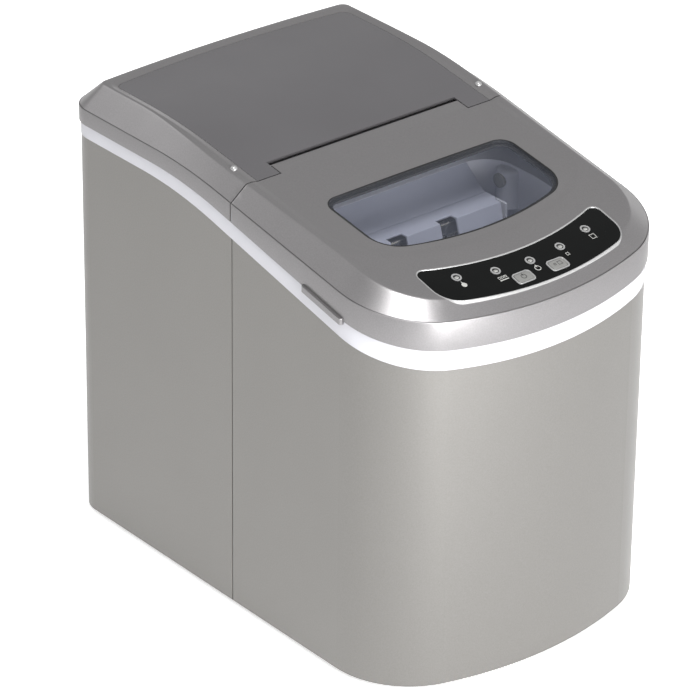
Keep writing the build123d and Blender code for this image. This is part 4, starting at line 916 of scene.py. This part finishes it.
def inked(bm, name, body, lift, ink):
    """Lays flat marks on the sloping panel, with the thickness of ink."""
    for vert in bm.verts:
        vert.co.z = height(PANEL, vert.co.y) + lift
    made = bmesh.ops.extrude_face_region(bm, geom=bm.faces[:])["geom"]
    bmesh.ops.translate(bm, vec=(0, 0, INK_THICKNESS), verts=[g for g in made if isinstance(g, bmesh.types.BMVert)])
    bmesh.ops.recalc_face_normals(bm, faces=bm.faces)
    finished(bm, name, ink, body)


def fascia():
    """The black crescent window over the lamps, with its openings for the two keys."""
    ring = controls_ring(-FASCIA_INSET)
    bm = bmesh.new()
    verts = bmesh.ops.create_circle(bm, segments=len(ring), radius=1.0, cap_ends=True)["verts"]
    for vert, (x, y) in zip(verts, ring):
        vert.co = (x, y, 0)
    for step in range(-168, -124, 3):  # cut into strips, so that it can follow the slope's curve
        bmesh.ops.bisect_plane(bm, geom=all_of(bm), plane_co=(0, step, 0), plane_no=(0, 1, 0))
    for vert in bm.verts:
        vert.co.z = height(PANEL, vert.co.y) - FASCIA_SUNK
    facing_up(bm)
    piece = finished(bm, "panel_fascia", ACRYLIC, "lid")
    thickened(piece, FASCIA_THICKNESS)
    cut_holes(piece, [[(x + dx, y + dy) for dx, dy in KEY_HOLE] for x, y in KEY_ROWS])
    smoothed(piece.data)
    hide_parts("control_fascia")


def frame_ring():
    """The slim satin frame that holds the fascia."""
    bm = bmesh.new()
    tag = bm.verts.layers.int.new("order")
    rings = [
        [(x, y, height(PANEL, y) + lift) for x, y in controls_ring(-inset)] for inset, lift in FRAME_SECTION
    ]
    verts = bmesh.ops.create_circle(bm, segments=len(rings[0]), radius=1.0)["verts"]
    numbered(verts, tag)
    for vert in verts:
        vert.co = rings[0][vert[tag]]
    edges = bm.edges[:]
    for ring in rings[1:]:
        edges = grown(bm, edges, lambda vert: ring[vert[tag]])
    bmesh.ops.bridge_loops(bm, edges=open_edges(bm))
    bmesh.ops.recalc_face_normals(bm, faces=bm.faces)
    piece = finished(bm, "panel_frame", TRIM, "lid")
    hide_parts("control_bezel")


def lamp_domes():
    """Small domed lenses standing in dark wells."""
    bm = bmesh.new()
    for x, y in LAMP_ROWS:
        centre = Vector((x, y, height(PANEL, y) - DOME_SUNK))
        at = Matrix.Translation(centre)
        rim = bmesh.ops.create_circle(bm, segments=24, radius=DOME_R, matrix=at)["verts"]
        edges = list({edge for vert in rim for edge in vert.link_edges})
        for share, lift in DOME_STEPS:

            def on_dome(vert):
                """A vertex's place on the next ring of the dome."""
                out = (vert.co - centre).xy.normalized() * DOME_R * share
                return centre.x + out.x, centre.y + out.y, centre.z + lift

            edges = grown(bm, edges, on_dome)
        bmesh.ops.contextual_create(bm, geom=edges)
    bmesh.ops.holes_fill(bm, edges=open_edges(bm))
    bmesh.ops.recalc_face_normals(bm, faces=bm.faces)
    finished(bm, "lamp_domes", LENS, "lid", smooth_angle=60.0)
    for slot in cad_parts["lamp_lenses"].material_slots:
        slot.material = WELL


def panel_marks():
    """Generic signs by the lamps: a drop, a full tray, a ring and bar, a small and a large cube."""
    bm = bmesh.new()
    spots = [(x, y - 7.6) for x, y in LAMP_ROWS]
    drop = dab(bm, spots[0], (1.9, 1.9))
    max(drop, key=lambda vert: vert.co.y).co.y += 2.0
    x, y = spots[1]
    for shift in (-2.4, 0.0, 2.4):
        band(bm, (x + shift, y + 1.0), 1.35, 0.5, *DIAMOND)
    dab(bm, (x, y - 1.3), (4.9, 0.55), *DIAMOND)
    x, y = spots[2]
    band(bm, (x, y), 2.2, 0.5)
    dab(bm, (x, y + 1.9), (0.45, 1.6), *DIAMOND)
    band(bm, spots[3], 1.7, 0.5, *DIAMOND)
    band(bm, spots[4], 2.9, 0.6, *DIAMOND)
    inked(bm, "panel_signs", "lid", ON_FASCIA, INK)


def key_marks():
    """Signs printed on the two keys."""
    bm = bmesh.new()
    x, y = KEY_ROWS[0]
    band(bm, (x, y), 2.0, 0.45)
    dab(bm, (x, y + 1.6), (0.4, 1.4), *DIAMOND)
    inked(bm, "power_key_sign", "power_key", ON_KEY, WELL)
    bm = bmesh.new()
    x, y = KEY_ROWS[1]
    for shift, size in ((-2.4, 1.2), (1.6, 2.2)):
        band(bm, (x + shift, y), size, 0.45, *DIAMOND)
    inked(bm, "select_key_sign", "select_key", ON_KEY, WELL)


fascia()
frame_ring()
lamp_domes()
panel_marks()
key_marks()


# --- Camera, floor and lights -----------------------------------------------------------------------
CAMERA_AZIMUTH, CAMERA_ELEVATION, CAMERA_ROLL = -40.049, 28.213, 0.699  # degrees
CAMERA_DISTANCE, CAMERA_LENS = 2912.36, 225.7
TARGET_HEIGHT, TARGET_RIGHT, TARGET_UP = 150, -15.137, 2.202


def camera():
    """A long lens, from the front left and above."""
    azimuth, elevation, roll = (radians(a) for a in (CAMERA_AZIMUTH, CAMERA_ELEVATION, CAMERA_ROLL))
    back = Vector((sin(azimuth) * cos(elevation), -cos(azimuth) * cos(elevation), sin(elevation)))
    right = (-back).cross(Vector((0, 0, 1))).normalized()
    up = right.cross(-back)
    target = Vector((0, 0, TARGET_HEIGHT)) + TARGET_RIGHT * right + TARGET_UP * up
    turned_right = right * cos(roll) + up * sin(roll)
    turned_up = -right * sin(roll) + up * cos(roll)
    eye = (target + back * CAMERA_DISTANCE) * MM
    data = bpy.data.cameras.new("camera")
    data.lens, data.sensor_width = CAMERA_LENS, 36.0
    data.clip_end = 50.0
    holder = bpy.data.objects.new("camera", data)
    holder.matrix_world = Matrix((
        (turned_right.x, turned_up.x, back.x, eye.x),
        (turned_right.y, turned_up.y, back.y, eye.y),
        (turned_right.z, turned_up.z, back.z, eye.z),
        (0, 0, 0, 1),
    ))
    bpy.context.collection.objects.link(holder)
    bpy.context.scene.camera = holder


def floor():
    """A plain white table top."""
    bm = bmesh.new()
    bmesh.ops.create_grid(bm, x_segments=1, y_segments=1, size=6.0)
    mesh = bpy.data.meshes.new("floor")
    bm.to_mesh(mesh)
    bm.free()
    material, tree, shader, place = surface("matt_white_floor", "FFFFFF", 0.9)
    mottled(tree, shader, place, 800.0, "FDFDFD", "FFFFFF")
    shader.inputs["Emission Color"].default_value = linear("FFFFFF")
    seen = add(tree, "ShaderNodeLightPath", {}).outputs["Is Camera Ray"]
    level = add(tree, "ShaderNodeMapRange", {"Value": seen, "To Min": 0.1, "To Max": 0.7})
    tree.links.new(level.outputs["Result"], shader.inputs["Emission Strength"])
    mesh.materials.append(material)
    piece = bpy.data.objects.new("floor", mesh)
    bpy.context.collection.objects.link(piece)


def area_light(name, place, target, size, power, tint="FFFFFF"):
    """A rectangular soft light aimed at a point."""
    data = bpy.data.lights.new(name, "AREA")
    data.shape, data.size, data.size_y = "RECTANGLE", *size
    data.energy = power
    data.color = linear(tint)[:3]
    lamp = bpy.data.objects.new(name, data)
    aim = Vector(target) - Vector(place)
    lamp.matrix_world = Matrix.Translation(place) @ aim.to_track_quat("-Z", "Y").to_matrix().to_4x4()
    bpy.context.collection.objects.link(lamp)


def daylight():
    """Even surroundings: pure white to look at, and a softer grey to be lit by."""
    world = bpy.data.worlds.new("surroundings")
    bpy.context.scene.world = world
    world.use_nodes = True
    tree = world.node_tree
    backdrop = tree.nodes["Background"]
    backdrop.inputs["Color"].default_value = linear("FFFFFF")
    seen = add(tree, "ShaderNodeLightPath", {}).outputs["Is Camera Ray"]
    way = add(tree, "ShaderNodeTexCoord", {}).outputs["Generated"]
    rise = add(tree, "ShaderNodeSeparateXYZ", {"Vector": way}).outputs["Z"]
    horizon = add(
        tree, "ShaderNodeMapRange",
        {"Value": rise, "From Min": 0.05, "From Max": 0.3, "To Min": 1.1, "To Max": 0.44},
        interpolation_type="SMOOTHSTEP",
    )
    level = add(
        tree, "ShaderNodeMapRange", {"Value": seen, "To Min": horizon.outputs["Result"], "To Max": 1.0},
    )
    tree.links.new(level.outputs["Result"], backdrop.inputs["Strength"])


camera()
floor()
daylight()
# Each light's place, target and size are in metres, and its power is in watts.
area_light("softbox_front", (-0.2, -1.9, 0.5), (0, 0, 0.15), (0.7, 0.9), 27)
area_light("softbox_low", (-0.25, -1.0, 0.45), (0, -0.3, 0), (0.5, 0.4), 2)
area_light("softbox_rear", (-0.75, 1.75, 1.9), (0, 0, 0.3), (1.0, 1.0), 3.5)
area_light("softbox_top", (-0.4, -0.8, 2.3), (0, -0.05, 0.25), (0.8, 0.8), 30)
bpy.context.scene.view_settings.view_transform = "Standard"
